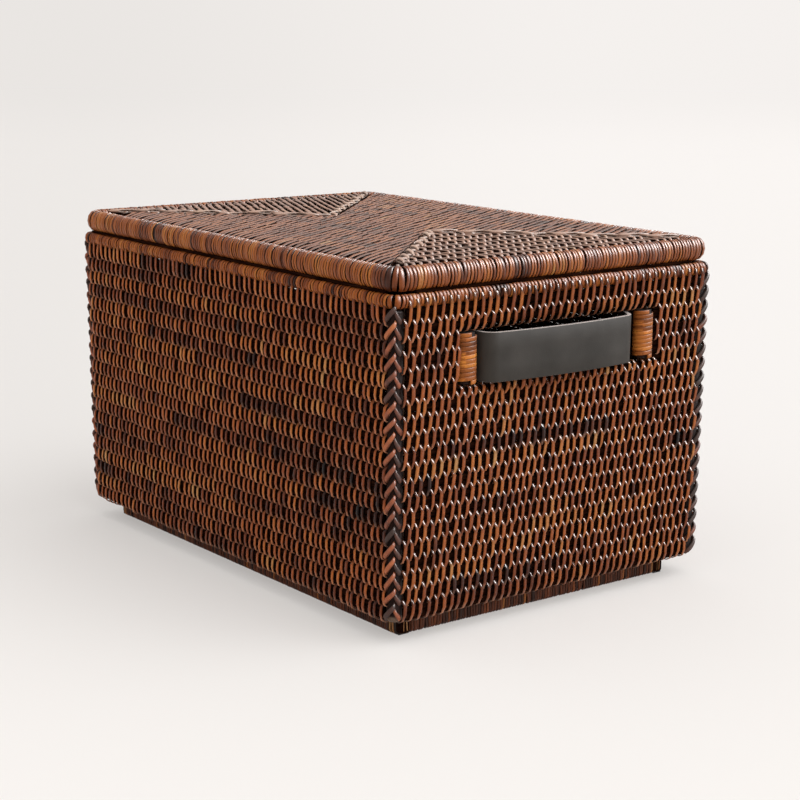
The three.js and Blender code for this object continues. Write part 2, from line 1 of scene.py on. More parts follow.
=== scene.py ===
# %% [markdown]
# A woven rattan box with a loose lid and two leather strap handles.
#
# The frame that is loaded first holds the measured solids of the box, in metres, standing on z = 0.
# Plain canes keep their solid and only get a finish. Everything woven, wound or cut from leather is
# modelled here in the place of its solid, strand by strand, because the strands are what one sees.

import math

import bpy
import numpy as np
from mathutils import Matrix, Vector


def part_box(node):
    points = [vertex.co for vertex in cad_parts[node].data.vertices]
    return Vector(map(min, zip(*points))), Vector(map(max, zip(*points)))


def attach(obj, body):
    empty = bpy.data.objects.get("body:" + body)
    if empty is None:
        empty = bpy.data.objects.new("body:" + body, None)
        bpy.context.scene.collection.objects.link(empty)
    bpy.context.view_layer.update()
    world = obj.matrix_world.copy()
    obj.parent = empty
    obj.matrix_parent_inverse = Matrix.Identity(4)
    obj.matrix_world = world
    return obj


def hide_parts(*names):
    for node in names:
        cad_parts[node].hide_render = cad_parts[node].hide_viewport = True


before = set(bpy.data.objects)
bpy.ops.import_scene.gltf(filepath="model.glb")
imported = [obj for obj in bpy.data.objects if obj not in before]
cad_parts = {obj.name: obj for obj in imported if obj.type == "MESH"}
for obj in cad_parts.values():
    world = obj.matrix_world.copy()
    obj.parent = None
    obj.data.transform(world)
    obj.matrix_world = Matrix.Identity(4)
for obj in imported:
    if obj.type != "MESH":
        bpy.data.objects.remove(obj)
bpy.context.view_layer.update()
mm = 0.001

# %% [markdown]
# The camera stands where the photographer stood: a little above the lid, in front of the near corner.
# Its place and lens were worked out from the straight edges of the box in the picture. It could be
# placed by eye, but then no strand would fall on its own place in the picture.

# %% Camera
camera_eye = Vector((978.6, -723.7, 356.8)) * mm
camera_azimuth = math.radians(52.862)
camera_elevation = math.radians(11.987)
camera_roll = math.radians(0.331)
focal_length_pixels = 1854.7
image_pixels = 800
sensor_width = 36
farthest_view = 200
camera_distance = math.hypot(camera_eye.x, camera_eye.y)

bpy.ops.object.select_all(action="DESELECT")
bpy.ops.object.camera_add(location=camera_eye)
camera = bpy.context.object
camera.name = "camera"
turned = Matrix.Rotation(camera_azimuth, 4, "Z") @ Matrix.Rotation(math.pi / 2 - camera_elevation, 4, "X")
camera.rotation_euler = (turned @ Matrix.Rotation(camera_roll, 4, "Z")).to_euler()
camera.data.sensor_width = sensor_width
camera.data.lens = sensor_width * focal_length_pixels / image_pixels
camera.data.clip_end = farthest_view
bpy.context.scene.camera = camera
print("camera lens", round(camera.data.lens, 1), "mm")

# %% [markdown]
# Finishes are trees of nodes. A few helpers make them short to write: fill() gives a node's inputs plain
# values or joins them to other nodes, and the rest each add one common node and give back its output.

# %% Helpers for finishes
def fill(tree, node, values):
    """Gives each named input of a node a plain value, or joins it to an output socket."""
    for name, value in values.items():
        if isinstance(value, bpy.types.NodeSocket):
            tree.links.new(value, node.inputs[name])
        else:
            node.inputs[name].default_value = value


def add_node(tree, kind, values=None, **settings):
    """Adds a node with the given settings and inputs."""
    node = tree.nodes.new(kind)
    for name, setting in settings.items():
        setattr(node, name, setting)
    fill(tree, node, values or {})
    return node


def maths(tree, operation, first, second=0.0):
    """A Math node on two values, each a socket or a number."""
    return add_node(tree, "ShaderNodeMath", {0: first, 1: second}, operation=operation).outputs[0]


def ranged(tree, value, low, high, new_low=0.0, new_high=1.0, interpolation="LINEAR"):
    """A Map Range node that clamps."""
    limits = {"Value": value, "From Min": low, "From Max": high, "To Min": new_low, "To Max": new_high}
    return add_node(tree, "ShaderNodeMapRange", limits, interpolation_type=interpolation).outputs["Result"]


def smooth_step(tree, value, start, end):
    """A smooth step from 0 to 1."""
    return ranged(tree, value, start, end, interpolation="SMOOTHSTEP")


def mixed(tree, factor, first, second, blend="MIX"):
    """A mix of two colours, whose sockets are the seventh and the eighth."""
    inputs = {"Factor": factor, 6: first, 7: second}
    return add_node(tree, "ShaderNodeMix", inputs, data_type="RGBA", blend_type=blend).outputs[2]


def split(tree, vector):
    """The X, Y and Z of a vector."""
    return add_node(tree, "ShaderNodeSeparateXYZ", {"Vector": vector}).outputs


def noise(tree, place, scale, detail):
    """Soft noise at a place."""
    inputs = {"Vector": place, "Scale": scale, "Detail": detail}
    return add_node(tree, "ShaderNodeTexNoise", inputs).outputs["Fac"]


def bumped(tree, height, strength, distance):
    """The normal of a surface with small relief."""
    inputs = {"Height": height, "Strength": strength, "Distance": distance}
    return add_node(tree, "ShaderNodeBump", inputs).outputs["Normal"]


def ramp(tree, value, stops):
    """The colour of a value, from stops of place and colour."""
    node = add_node(tree, "ShaderNodeValToRGB", {"Fac": value})
    while len(node.color_ramp.elements) < len(stops):
        node.color_ramp.elements.new(0.5)
    for stop, (place, colour) in zip(node.color_ramp.elements, stops):
        stop.position = place
        stop.color = (*colour, 1)
    return node.outputs["Color"]


def object_place(tree):
    """Object coordinates."""
    return add_node(tree, "ShaderNodeTexCoord").outputs["Object"]


def new_finish(name):
    """A new material, its tree and its surface node."""
    finish = bpy.data.materials.new(name)
    finish.use_nodes = True
    return finish, finish.node_tree, finish.node_tree.nodes["Principled BSDF"]


print("finish helpers ready")

# %% [markdown]
# A product picture like this is taken on a pale sweep under a soft light from above. A very large floor
# and a round wall behind it stand for the sweep. The floor has a paper finish, and what the camera sees of
# it is lifted part of the way to its colour, so that the shadow stays light without more light on
# the box. The wall is there for the camera only and takes no light away. The paper's colour holds painted
# light: it is a little brighter near the camera and on the right, as in the photo.

# %% Floor
floor_sides = 64
floor_radius = 81
backdrop_radius = 80
backdrop_height = 60

bpy.ops.object.select_all(action="DESELECT")
bpy.ops.mesh.primitive_circle_add(vertices=floor_sides, radius=floor_radius, fill_type="NGON")
floor = bpy.context.object
floor.name = "floor"
bpy.ops.object.select_all(action="DESELECT")
bpy.ops.mesh.primitive_cylinder_add(
    vertices=floor_sides,
    radius=backdrop_radius,
    depth=backdrop_height,
    location=(0, 0, backdrop_height / 2),
    end_fill_type="NOTHING",
)
bpy.ops.object.transform_apply(location=True, rotation=True, scale=True)
backdrop = bpy.context.object
backdrop.name = "backdrop"
backdrop.visible_diffuse = False
backdrop.visible_glossy = False
backdrop.visible_transmission = False
backdrop.visible_shadow = False
print("floor of", round(floor.dimensions.x), "m, backdrop", round(backdrop.dimensions.z), "m high")

# %% Finish of the floor
near_colour = (0.95, 0.915, 0.885, 1)
far_left_colour = (0.82, 0.79, 0.765, 1)
far_right_colour = (0.91, 0.877, 0.853, 1)
paper_share = 0.86
shadow_lift = 0.42

floor_finish, paper_tree, paper = new_finish("floor_paper")
facing_camera = add_node(paper_tree, "ShaderNodeMapping", {
    "Vector": object_place(paper_tree),
    "Rotation": (0, 0, camera_azimuth),
}, vector_type="TEXTURE")
aside, away, above = split(paper_tree, facing_camera.outputs["Vector"])
distance = maths(paper_tree, "ADD", away, camera_distance)
sideways = maths(paper_tree, "DIVIDE", aside, distance)
# Painted light: the paper's colour is made brighter towards the right and near the camera, as the lamps fall
# across the sweep.
rightness = smooth_step(paper_tree, sideways, -0.2, 0.12)
far_colour = mixed(paper_tree, rightness, far_left_colour, far_right_colour)
paper_colour_with_painted_light = mixed(paper_tree, smooth_step(paper_tree, away, -0.5, 0.5), near_colour, far_colour)
grey = (paper_share, paper_share, paper_share, 1)
fill(paper_tree, paper, {
    "Base Color": mixed(paper_tree, 1, paper_colour_with_painted_light, grey, "MULTIPLY"),
    "Roughness": 0.9,
    "Specular IOR Level": 0.15,
})

# %% What the camera sees of the floor
seen = add_node(paper_tree, "ShaderNodeEmission", {"Color": paper_colour_with_painted_light})
ray = add_node(paper_tree, "ShaderNodeLightPath").outputs
seen_or_mirrored = maths(paper_tree, "MAXIMUM", ray["Is Camera Ray"], ray["Is Glossy Ray"])
seen_at_all = maths(paper_tree, "MAXIMUM", seen_or_mirrored, ray["Is Transmission Ray"])
far_lift = smooth_step(paper_tree, away, 0.5, 7)
wall_lift = smooth_step(paper_tree, above, 0, 0.1)
least_lift = maths(paper_tree, "MAXIMUM", maths(paper_tree, "MAXIMUM", far_lift, wall_lift), shadow_lift)
lifted = add_node(paper_tree, "ShaderNodeMixShader", {
    "Fac": maths(paper_tree, "MULTIPLY", seen_at_all, least_lift),
    1: paper.outputs["BSDF"],
    2: seen.outputs["Emission"],
})
fill(paper_tree, paper_tree.nodes["Material Output"], {"Surface": lifted.outputs["Shader"]})
for stage_piece in (floor, backdrop):
    stage_piece.data.materials.append(floor_finish)
print("floor finish has", len(paper_tree.nodes), "nodes")

# %% [markdown]
# The light comes from a sky that is bright overhead and dim near the ground, as in a room with a light
# tent. This keeps the upright strands deep in colour.

# %% Sky
sky_overhead = 0.98
sky_at_ground = 0.42
sky_full_height = 0.7

sky = bpy.data.worlds.new("sky")
bpy.context.scene.world = sky
sky.use_nodes = True
sky_tree = sky.node_tree
sky_height = split(sky_tree, add_node(sky_tree, "ShaderNodeTexCoord").outputs["Generated"])["Z"]
fill(sky_tree, sky_tree.nodes["Background"], {
    "Color": (1, 0.99, 0.98, 1),
    "Strength": ranged(sky_tree, sky_height, 0.0, sky_full_height, sky_at_ground, sky_overhead, "SMOOTHSTEP"),
})
print("sky from", sky_at_ground, "to", sky_overhead)

# %% [markdown]
# Two lamps shine from behind on the right. A broad one gives the soft shadow to the left. A narrower one
# only adds gloss: it is the bright window whose image glints on the bends of the strands, and lighting
# nothing else it leaves the colours as they are.

# %% Lamps
broad_power = 0.95
broad_width = 50
broad_direction = Vector((0.58, 0.22, 0.78))
glint_power = 34.0
glint_width = 44
glint_direction = Vector((0.42, 0.60, 0.68))


def add_lamp(name, direction, power, width):
    """A lamp of the given angular width, far away in the given direction."""
    bpy.ops.object.select_all(action="DESELECT")
    bpy.ops.object.light_add(type="SUN", location=2 * direction)
    lamp = bpy.context.object
    lamp.name = name
    lamp.data.energy = power
    lamp.data.angle = math.radians(width)
    lamp.rotation_euler = direction.to_track_quat("Z", "Y").to_euler()
    return lamp


broad_lamp = add_lamp("broad_lamp", broad_direction, broad_power, broad_width)
broad_lamp.visible_glossy = False
glint_lamp = add_lamp("glint_lamp", glint_direction, glint_power, glint_width)
glint_lamp.visible_diffuse = False
bpy.context.scene.view_settings.view_transform = "Standard"
print("lamps:", broad_lamp.name, glint_lamp.name)

# %% [markdown]
# Working by hand, one selects some points of a mesh and moves them. The helpers here do that in code:
# pick() selects points by their place, and the transform operators then act on them. An array or a
# screw is added as a modifier and applied at once, so that a piece ends as one plain mesh whose points
# can be nudged a little by chance, as no two strands of a hand-made box lie alike.

# %% Helpers for shaping
def start_piece():
    """Nothing selected and object mode, so that the next operator touches only the new piece."""
    if bpy.context.object is not None and bpy.context.object.mode != "OBJECT":
        bpy.ops.object.mode_set(mode="OBJECT")
    bpy.ops.object.select_all(action="DESELECT")


def choose(piece):
    """Makes one piece the only selected and active one."""
    start_piece()
    piece.select_set(True)
    bpy.context.view_layer.objects.active = piece


def select_points(piece, wanted):
    """Goes to edit mode with just the marked points selected."""
    choose(piece)
    bpy.ops.object.mode_set(mode="EDIT")
    bpy.ops.mesh.select_mode(type="VERT")
    bpy.ops.mesh.select_all(action="DESELECT")
    bpy.ops.object.mode_set(mode="OBJECT")
    piece.data.vertices.foreach_set("select", np.asarray(wanted, dtype=bool))
    bpy.ops.object.mode_set(mode="EDIT")


def pick(piece, test=lambda point: True):
    """Goes to edit mode with just those points selected for which the test holds."""
    select_points(piece, [bool(test(point.co)) for point in piece.data.vertices])


def remove_points(piece, unwanted):
    """Deletes the marked points and the faces on them."""
    select_points(piece, unwanted)
    bpy.ops.mesh.delete(type="VERT")
    bpy.ops.object.mode_set(mode="OBJECT")


def done(piece):
    """Back to object mode with the piece's place in its mesh."""
    bpy.ops.object.mode_set(mode="OBJECT")
    choose(piece)
    bpy.ops.object.transform_apply(location=True, rotation=True, scale=True)


def turn_about_z(piece, angle):
    """Turns a piece about the box's upright axis and puts the turn into its mesh."""
    choose(piece)
    piece.rotation_euler = (0, 0, angle)
    bpy.ops.object.transform_apply(location=True, rotation=True, scale=True)


def repeat(piece, count, step):
    """Copies a piece in a straight line with an Array modifier and applies it."""
    choose(piece)
    line = piece.modifiers.new("repeat", "ARRAY")
    line.use_relative_offset = False
    line.use_constant_offset = True
    line.constant_offset_displace = step
    line.count = count
    bpy.ops.object.modifier_apply(modifier=line.name)


def points_of(piece):
    """The points of a piece as rows of x, y, z."""
    flat = np.empty(3 * len(piece.data.vertices))
    piece.data.vertices.foreach_get("co", flat)
    return flat.reshape(-1, 3)


def set_points(piece, points):
    """Puts moved points back into a piece."""
    piece.data.vertices.foreach_set("co", np.ascontiguousarray(points).ravel())
    piece.data.update()


def move(piece, x=0, y=0, z=0):
    """Moves all points of a piece."""
    set_points(piece, points_of(piece) + (x, y, z))


def note(piece, name, values):
    """Writes one number for each point, which a material can read as an attribute."""
    layer = piece.data.attributes.new(name, "FLOAT", "POINT")
    layer.data.foreach_set("value", np.asarray(values, dtype=float).ravel())


def face_outward(piece):
    """Turns all faces of a piece outward."""
    choose(piece)
    bpy.ops.object.mode_set(mode="EDIT")
    bpy.ops.mesh.select_all(action="SELECT")
    bpy.ops.mesh.normals_make_consistent(inside=False)
    bpy.ops.object.mode_set(mode="OBJECT")


def join(name, pieces):
    """Joins several meshes into the first of them."""
    choose(pieces[0])
    for piece in pieces:
        piece.select_set(True)
    bpy.ops.object.join()
    pieces[0].name = name
    return pieces[0]


# %% Simple shapes to start from
def model_ring(steps, sides, radius, thickness):
    """A torus round the X axis, with a UV map along and across it, 0.5 across being its outermost line."""
    start_piece()
    bpy.ops.mesh.primitive_torus_add(
        major_segments=steps,
        minor_segments=sides,
        major_radius=radius,
        minor_radius=thickness / 2,
        rotation=(0, math.pi / 2, 0),
        generate_uvs=True,
    )
    ring = bpy.context.object
    done(ring)
    return ring


def model_grid(columns, rows):
    """A standing square grid of side 1 with a UV map, its front towards -Y."""
    start_piece()
    bpy.ops.mesh.primitive_grid_add(
        x_subdivisions=columns,
        y_subdivisions=rows,
        size=1,
        rotation=(math.pi / 2, 0, 0),
        calc_uvs=True,
    )
    grid = bpy.context.object
    done(grid)
    return grid


def model_rod(length, radius, place):
    """A round rod along X."""
    start_piece()
    bpy.ops.mesh.primitive_cylinder_add(
        vertices=8,
        radius=radius,
        depth=length,
        location=place,
        rotation=(0, math.pi / 2, 0),
    )
    rod = bpy.context.object
    done(rod)
    return rod


# %% Finishing a piece
def hand_in(piece, name, body, slot, finish, *solids):
    """Names a finished piece, gives it its finish, and lets it ride and stand for its solids."""
    choose(piece)
    bpy.ops.object.shade_smooth()
    piece.name = name
    piece.data.name = name
    if finish is not None:
        piece.data.materials.clear()
        piece.data.materials.append(finish)
    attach(piece, body)
    if solids:
        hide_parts(*solids)
    piece.data.calc_loop_triangles()
    print(name, "has", len(piece.data.loop_triangles), "triangles")
    return piece


print("shaping helpers ready")

# %% [markdown]
# Every strand on the box is split rattan, stained dark and worn to lighter browns. One strand keeps its
# tone for a whole run of stitches, and each stitch differs a little from the next. So the pieces carry
# two numbers at each point, the strand's tone and the stitch's own chance, and a node group turns them
# into colour, gloss and fibre. It could be painted by noise in space, but then tones would cut across
# the stitches. The strand's own UV map runs along and across it, so fibres follow each bend. Across, 0.5
# is the crown of the strand. Its edges are darker, partly stain and partly painted shade in the grooves
# where strands meet. On the wall stitches the group also paints shade on both ends, where they go under
# the next row, and a pale painted sheen, a reflection of the floor, on the lower half.

# %% Node group for split rattan
rattan_tones = [
    (0.00, (0.016, 0.0045, 0.0022)),
    (0.20, (0.090, 0.0200, 0.0070)),
    (0.42, (0.350, 0.0820, 0.0220)),
    (0.60, (0.570, 0.1500, 0.0360)),
    (0.80, (0.730, 0.2250, 0.0460)),
    (1.00, (0.800, 0.3900, 0.1400)),
]
pale_colour = (0.58, 0.42, 0.34, 1)
# The pale pink of a painted sheen on the lower half of the wall stitches, standing for a reflection of the
# floor.
painted_sheen_colour = (0.62, 0.35, 0.25, 1)

rattan = bpy.data.node_groups.new("split_rattan", "ShaderNodeTree")
rattan_sockets = [
    ("Tone", "INPUT", "Float"),
    ("Chance", "INPUT", "Float"),
    ("Strand", "INPUT", "Vector"),
    ("Fade", "INPUT", "Float"),
    ("Painted Ends", "INPUT", "Float"),
    ("Matt", "INPUT", "Float"),
    ("Edge", "INPUT", "Float"),
    ("Light", "INPUT", "Float"),
    ("Color", "OUTPUT", "Color"),
    ("Roughness", "OUTPUT", "Float"),
    ("Height", "OUTPUT", "Float"),
]
for socket, way, kind in rattan_sockets:
    rattan.interface.new_socket(socket, in_out=way, socket_type=f"NodeSocket{kind}")
given = add_node(rattan, "NodeGroupInput").outputs
strand_place = split(rattan, given["Strand"])
along = strand_place["X"]
across = strand_place["Y"]


def times(first, second):
    """A product inside the node group."""
    return maths(rattan, "MULTIPLY", first, second)


def shaded(colour, shade):
    """A colour times a grey value."""
    inputs = {"Vector": colour, "Scale": shade}
    return add_node(rattan, "ShaderNodeVectorMath", inputs, operation="SCALE").outputs["Vector"]


# %% Tone and fibre
fibre_place = add_node(rattan, "ShaderNodeCombineXYZ", {
    "X": times(along, 5.0),
    "Y": times(across, 26.0),
    "Z": times(given["Chance"], 91.0),
})
fibre = noise(rattan, fibre_place.outputs["Vector"], 1.0, 3.0)
blotch_place = add_node(rattan, "ShaderNodeCombineXYZ", {
    "X": times(along, 3.0),
    "Y": times(given["Chance"], 57.0),
})
blotch = noise(rattan, blotch_place.outputs["Vector"], 1.0, 2.0)
blotch_shift = times(maths(rattan, "SUBTRACT", blotch, 0.5), 0.5)
chance_shift = times(maths(rattan, "SUBTRACT", given["Chance"], 0.5), 0.22)
worn_tone = maths(rattan, "ADD", given["Tone"], maths(rattan, "ADD", blotch_shift, chance_shift))
tone_colour = ramp(rattan, worn_tone, rattan_tones)

# %% Stain, paleness, painted shade and painted sheen
from_crown = maths(rattan, "SUBTRACT", across, 0.5)
crown = maths(rattan, "COSINE", times(from_crown, 2 * math.pi))
# Towards the edges of a strand the colour is darkened by Edge: partly stain, partly painted shade where
# neighbouring strands meet.
edge_darkening = times(ranged(rattan, crown, -0.1, 0.7, 1.0, 0.0), given["Edge"])
edge_shade = times(maths(rattan, "SUBTRACT", 1.0, edge_darkening), given["Light"])
fibre_shade = ranged(rattan, fibre, 0.3, 0.7, 0.72, 1.18)
stained_and_edge_shaded = shaded(tone_colour, times(edge_shade, fibre_shade))
# The colour is mixed towards a pale grey-brown, as much as the finish asks.
paled = mixed(rattan, given["Fade"], stained_and_edge_shaded, pale_colour)
# Painted sheen: the lower half of each wall stitch is mixed towards pale pink, as if it reflected the bright
# floor.
tail_end = ranged(rattan, along, 0.25, 0.37)
painted_tail_sheen = times(tail_end, ranged(rattan, given["Chance"], 0.0, 1.0, 0.25, 1.0))
with_painted_sheen = mixed(rattan, times(painted_tail_sheen, given["Painted Ends"]), paled, painted_sheen_colour)
# Painted shade: both ends of each wall stitch, where it goes under the next row, are darkened, scaled by the
# same input as the sheen.
tail_shade = ranged(rattan, along, 0.33, 0.41, 0.0, 1.2)
head_shade = ranged(rattan, along, 0.19, 0.12, 0.0, 1.2)
end_shade = maths(rattan, "MAXIMUM", tail_shade, head_shade)
end_light = maths(rattan, "SUBTRACT", 1.0, times(end_shade, given["Painted Ends"]))
add_node(rattan, "NodeGroupOutput", {
    "Color": shaded(with_painted_sheen, end_light),
    "Roughness": maths(rattan, "ADD", ranged(rattan, fibre, 0.3, 0.7, 0.25, 0.38), given["Matt"]),
    "Height": fibre,
})
print("node group", rattan.name, "has", len(rattan.nodes), "nodes")


# %% Finishes of the strands
def strand_finish(name, light=0.5, edge=0.7, paleness=0.0, painted_ends=0.0, matt=0.0, shine=0.2, tint=(1, 1, 1)):
    """A split rattan finish that reads the tone and the chance of each stitch."""
    finish, tree, surface = new_finish(name)
    group = add_node(tree, "ShaderNodeGroup", node_tree=rattan)
    fill(tree, group, {
        "Tone": add_node(tree, "ShaderNodeAttribute", attribute_name="tone").outputs["Fac"],
        "Chance": add_node(tree, "ShaderNodeAttribute", attribute_name="chance").outputs["Fac"],
        "Strand": add_node(tree, "ShaderNodeUVMap", uv_map="UVMap").outputs["UV"],
        "Fade": paleness,
        "Painted Ends": painted_ends,
        "Matt": matt,
        "Edge": edge,
        "Light": light,
    })
    fill(tree, surface, {
        "Base Color": mixed(tree, 1, group.outputs["Color"], (*tint, 1), "MULTIPLY"),
        "Roughness": group.outputs["Roughness"],
        "Specular IOR Level": shine,
        "Normal": bumped(tree, group.outputs["Height"], 0.35, 0.15 * mm),
    })
    return finish


# On the walls the ends of the stitches get painted shade and their lower halves a painted sheen.
woven_rattan = strand_finish("woven_rattan", painted_ends=0.6, tint=(1.17, 1.11, 1.0))
side_rattan = strand_finish("side_rattan", painted_ends=0.5, tint=(1.35, 1.24, 1.08))
laced_rattan = strand_finish(
    "laced_rattan", light=1.0, edge=0.6, paleness=0.1, matt=0.15, shine=0.15, tint=(0.8, 0.76, 0.8))
# On the rims Edge is high: the flanks of each turn get painted shade, standing for the dark grooves between
# turns.
rim_strand = strand_finish("rim_strand", edge=0.95, matt=0.15, shine=0.15, tint=(1.15, 1.13, 0.9))
lid_rim_strand = strand_finish(
    "lid_rim_strand", edge=0.95, matt=0.12, shine=0.25, tint=(1.17, 1.17, 0.93))
golden_strand = strand_finish(
    "golden_strand", light=1.0, edge=0.6, matt=0.2, shine=0.1, tint=(0.92, 1.12, 0.85))
plinth_strand = strand_finish("plinth_strand", paleness=0.03, matt=0.15)
lid_rattan = strand_finish("lid_rattan", paleness=0.18, matt=0.3, shine=0.1)
lid_end_rattan = strand_finish("lid_end_rattan", paleness=0.45, matt=0.2)
lid_lacing = strand_finish("lid_lacing", paleness=0.65, matt=0.25)
print("strand finishes:", woven_rattan.name, rim_strand.name, golden_strand.name, lid_rattan.name)

# %% [markdown]
# The canes inside the box are whole rattan, stained almost black. Their grain is long fine streaks with
# a pale fleck here and there. Noise on Object coordinates does it, since a cane is straight and the
# streaks only need to be much longer than wide; the turned copies of the finish set the grain's run.

# %% Finish of the dark canes
cane_stain = [(0.35, (0.006, 0.002, 0.0012)), (0.75, (0.026, 0.009, 0.005))]
bare_cane = (0.16, 0.105, 0.075, 1)


def cane_finish(name, stretch, shine, cut_height=0):
    """Near-black stained cane with streaks along the axis that is stretched least; bare below the cut."""
    finish, tree, surface = new_finish(name)
    place = object_place(tree)
    run = add_node(tree, "ShaderNodeMapping", {"Vector": place, "Scale": stretch})
    grain = noise(tree, run.outputs["Vector"], 1.0, 4.0)
    bareness = ranged(tree, split(tree, place)["Z"], cut_height, cut_height - 1 * mm, 0, 0.8)
    fill(tree, surface, {
        "Base Color": mixed(tree, bareness, ramp(tree, grain, cane_stain), bare_cane),
        "Roughness": ranged(tree, grain, 0.3, 0.7, 0.5, 0.7),
        "Specular IOR Level": shine,
        "Normal": bumped(tree, grain, 0.3, 0.15 * mm),
    })
    return finish


along_grain = 60
across_grain = 900
upright_grain = (across_grain, across_grain, along_grain)
cane_along_x = cane_finish("dark_cane_along", (along_grain, across_grain, across_grain), 0.0)
cane_along_y = cane_finish("dark_cane_across", (across_grain, along_grain, across_grain), 0.0)
cane_upright = cane_finish("dark_cane_upright", upright_grain, 0.1)
post_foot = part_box("corner_post_front_right")[0].z
cut_post = cane_finish("cut_post", upright_grain, 0.1, post_foot + 4 * mm)
print("cane finishes ready")

# %% [markdown]
# The walls are rows of thin dark rods, lying close, bound together by a strand that goes over three rods
# at a time. What shows outside is the strand: short upright stitches in rows, each row moved by half a
# stitch, with the lower end of each stitch slipping sideways under the next row. Weaving could be drawn
# as a bump on a flat wall, but the gaps between the stitches are deep and catch the light, so each
# stitch is a real loop here. One loop is modelled from a torus and repeated with Array modifiers.

# %% Sizes read from the solids
wall_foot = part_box("front_wall_weave")[0].z
wall_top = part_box("front_wall_weave")[1].z
half_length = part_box("rim_binding")[1].x
half_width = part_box("rim_binding")[1].y
basket_top = wall_top + 8.3 * mm
wall_batter = 1.8 * mm
wall_thickness = 6.4 * mm
wall_end_inset = 11.7 * mm
row_count = 20
row_pitch = (wall_top - wall_foot) / row_count
print("rows", row_count, "pitch", round(row_pitch / mm, 2), "mm")


def lean(piece):
    """The walls stand a little closer together at the foot than at the rim."""
    points = points_of(piece)
    share = (basket_top - points[:, 2]) / (basket_top - wall_foot)
    points[:, 0] *= 1 - share * wall_batter / half_length
    points[:, 1] *= 1 - share * wall_batter / half_width
    set_points(piece, points)


# %% One stitch
stitch_steps = 12
stitch_sides = 6
stitch_tilt = 0.1
stitch_slant = 0.35
belly_drop = 0.25
tail_from = 0.1
end_from = 0.27
tail_slip_share = 0.3
head_slip_share = 0.45
head_rise = 0.3
tail_width = 0.55
tip_width = 0.35


def flatten_strand(ring, radius, thickness, shoulder=0.75):
    """Presses the round section to that of split rattan, flat inside and domed down to its shoulders."""
    points = points_of(ring)
    reach = np.hypot(points[:, 1], points[:, 2])
    outward = (reach - radius) / (thickness / 2)
    pressed = np.interp(outward, [-1, -0.5, 0.5, 1], [-0.6, -0.5, shoulder, 1]) * thickness / 2
    points[:, 1:] *= ((radius + pressed) / reach)[:, None]
    set_points(ring, points)


def model_stitch(height, depth, width, thickness, tail, tilt=stitch_tilt):
    """One loop of strand across X, standing up, front towards -Y, its lower end slipped by the tail."""
    radius = (depth - thickness) / 2
    stitch = model_ring(stitch_steps, stitch_sides, radius, thickness)
    flatten_strand(stitch, radius, thickness)
    stretch = (height - depth) / 2
    middle = 0.01 * mm
    pick(stitch, lambda point: point.z > middle)
    bpy.ops.transform.translate(value=(0, 0, stretch))
    pick(stitch, lambda point: point.z < -middle)
    bpy.ops.transform.translate(value=(0, 0, -stretch))
    pick(stitch)
    bpy.ops.transform.resize(value=(width / thickness, 1, 1), center_override=(0, 0, 0))
    pick(stitch, lambda point: abs(point.z) < middle)
    bpy.ops.transform.translate(value=(0, 0, -belly_drop * stretch))
    slip = tail_slip_share * tail
    pick(stitch, lambda point: point.z < -stretch - tail_from * depth)
    bpy.ops.transform.translate(value=(slip, 0, 0))
    bpy.ops.transform.resize(value=(tail_width, 1, 1), center_override=(slip, 0, 0))
    pick(stitch, lambda point: point.z < -stretch - end_from * depth)
    bpy.ops.transform.translate(value=(slip, 0.1 * depth, 0))
    bpy.ops.transform.resize(value=(tip_width, 1, 1), center_override=(2 * slip, 0, 0))
    pick(stitch, lambda point: point.z > stretch + end_from * depth)
    bpy.ops.transform.translate(value=(head_slip_share * tail, 0.07 * depth, head_rise * depth))
    done(stitch)
    points = points_of(stitch)
    points[:, 0] -= stitch_slant * tail * points[:, 2] / height
    points[:, 1] -= tilt * points[:, 2]
    set_points(stitch, points)
    return stitch


# %% Rows of stitches and their tones
woven_tones = [(0.24, 0.05), (0.38, 0.12), (0.50, 0.24), (0.58, 0.30), (0.68, 0.21), (0.78, 0.08)]


def strand_runs(rows, columns, seed, tones, longest=30, unevenness=0.08):
    """Tone of each stitch: one strand keeps its tone for a run of stitches along a row."""
    chance = np.random.default_rng(seed)
    levels, shares = zip(*tones)
    runs = np.empty((rows, columns))
    for row in range(rows):
        column = 0
        while column < columns:
            length = int(chance.integers(longest // 6, longest))
            runs[row, column:column + length] = chance.choice(levels, p=shares)
            column += length
    return runs + chance.normal(0, unevenness, runs.shape)


def vary(piece, copies, seed, slack, spread=0.09):
    """Small differences of place, width and slant between the copies of an array."""
    chance = np.random.default_rng(seed)
    points = points_of(piece).reshape(copies, -1, 3)
    middle = points.mean(axis=1, keepdims=True)
    apart = points - middle
    apart[:, :, 0] *= chance.normal(1, spread, (copies, 1)).clip(1 - 2.4 * spread, 1 + 2.4 * spread)
    apart[:, :, 0] += apart[:, :, 2] * chance.normal(0, 0.05, (copies, 1))
    apart[:, :, 1] *= chance.normal(0.985, 0.02, (copies, 1)).clip(0.93, 1.02)
    middle = middle + chance.normal(0, 1, (copies, 1, 3)).clip(-2, 2) * np.array(slack)
    set_points(piece, (middle + apart).reshape(-1, 3))


def mark_tones(piece, tones, seed):
    """Writes the tone and the chance of every copy to all its points."""
    chance = np.random.default_rng(seed)
    each = len(piece.data.vertices) // tones.size
    note(piece, "tone", np.repeat(tones.ravel(), each))
    note(piece, "chance", np.repeat(chance.random(tones.size), each))


# %% [markdown]
# A wall is laid out as if it were the front one, with its outside towards -Y, and then turned to its
# side of the box. In the two end walls the stitches leave a slot free for the handle: loops inside it
# are deleted, and those on its sill and lintel are squashed to end there, as a weaver would bind fewer
# rods at an edge. Deleting is simpler than a boolean and leaves every strand whole.

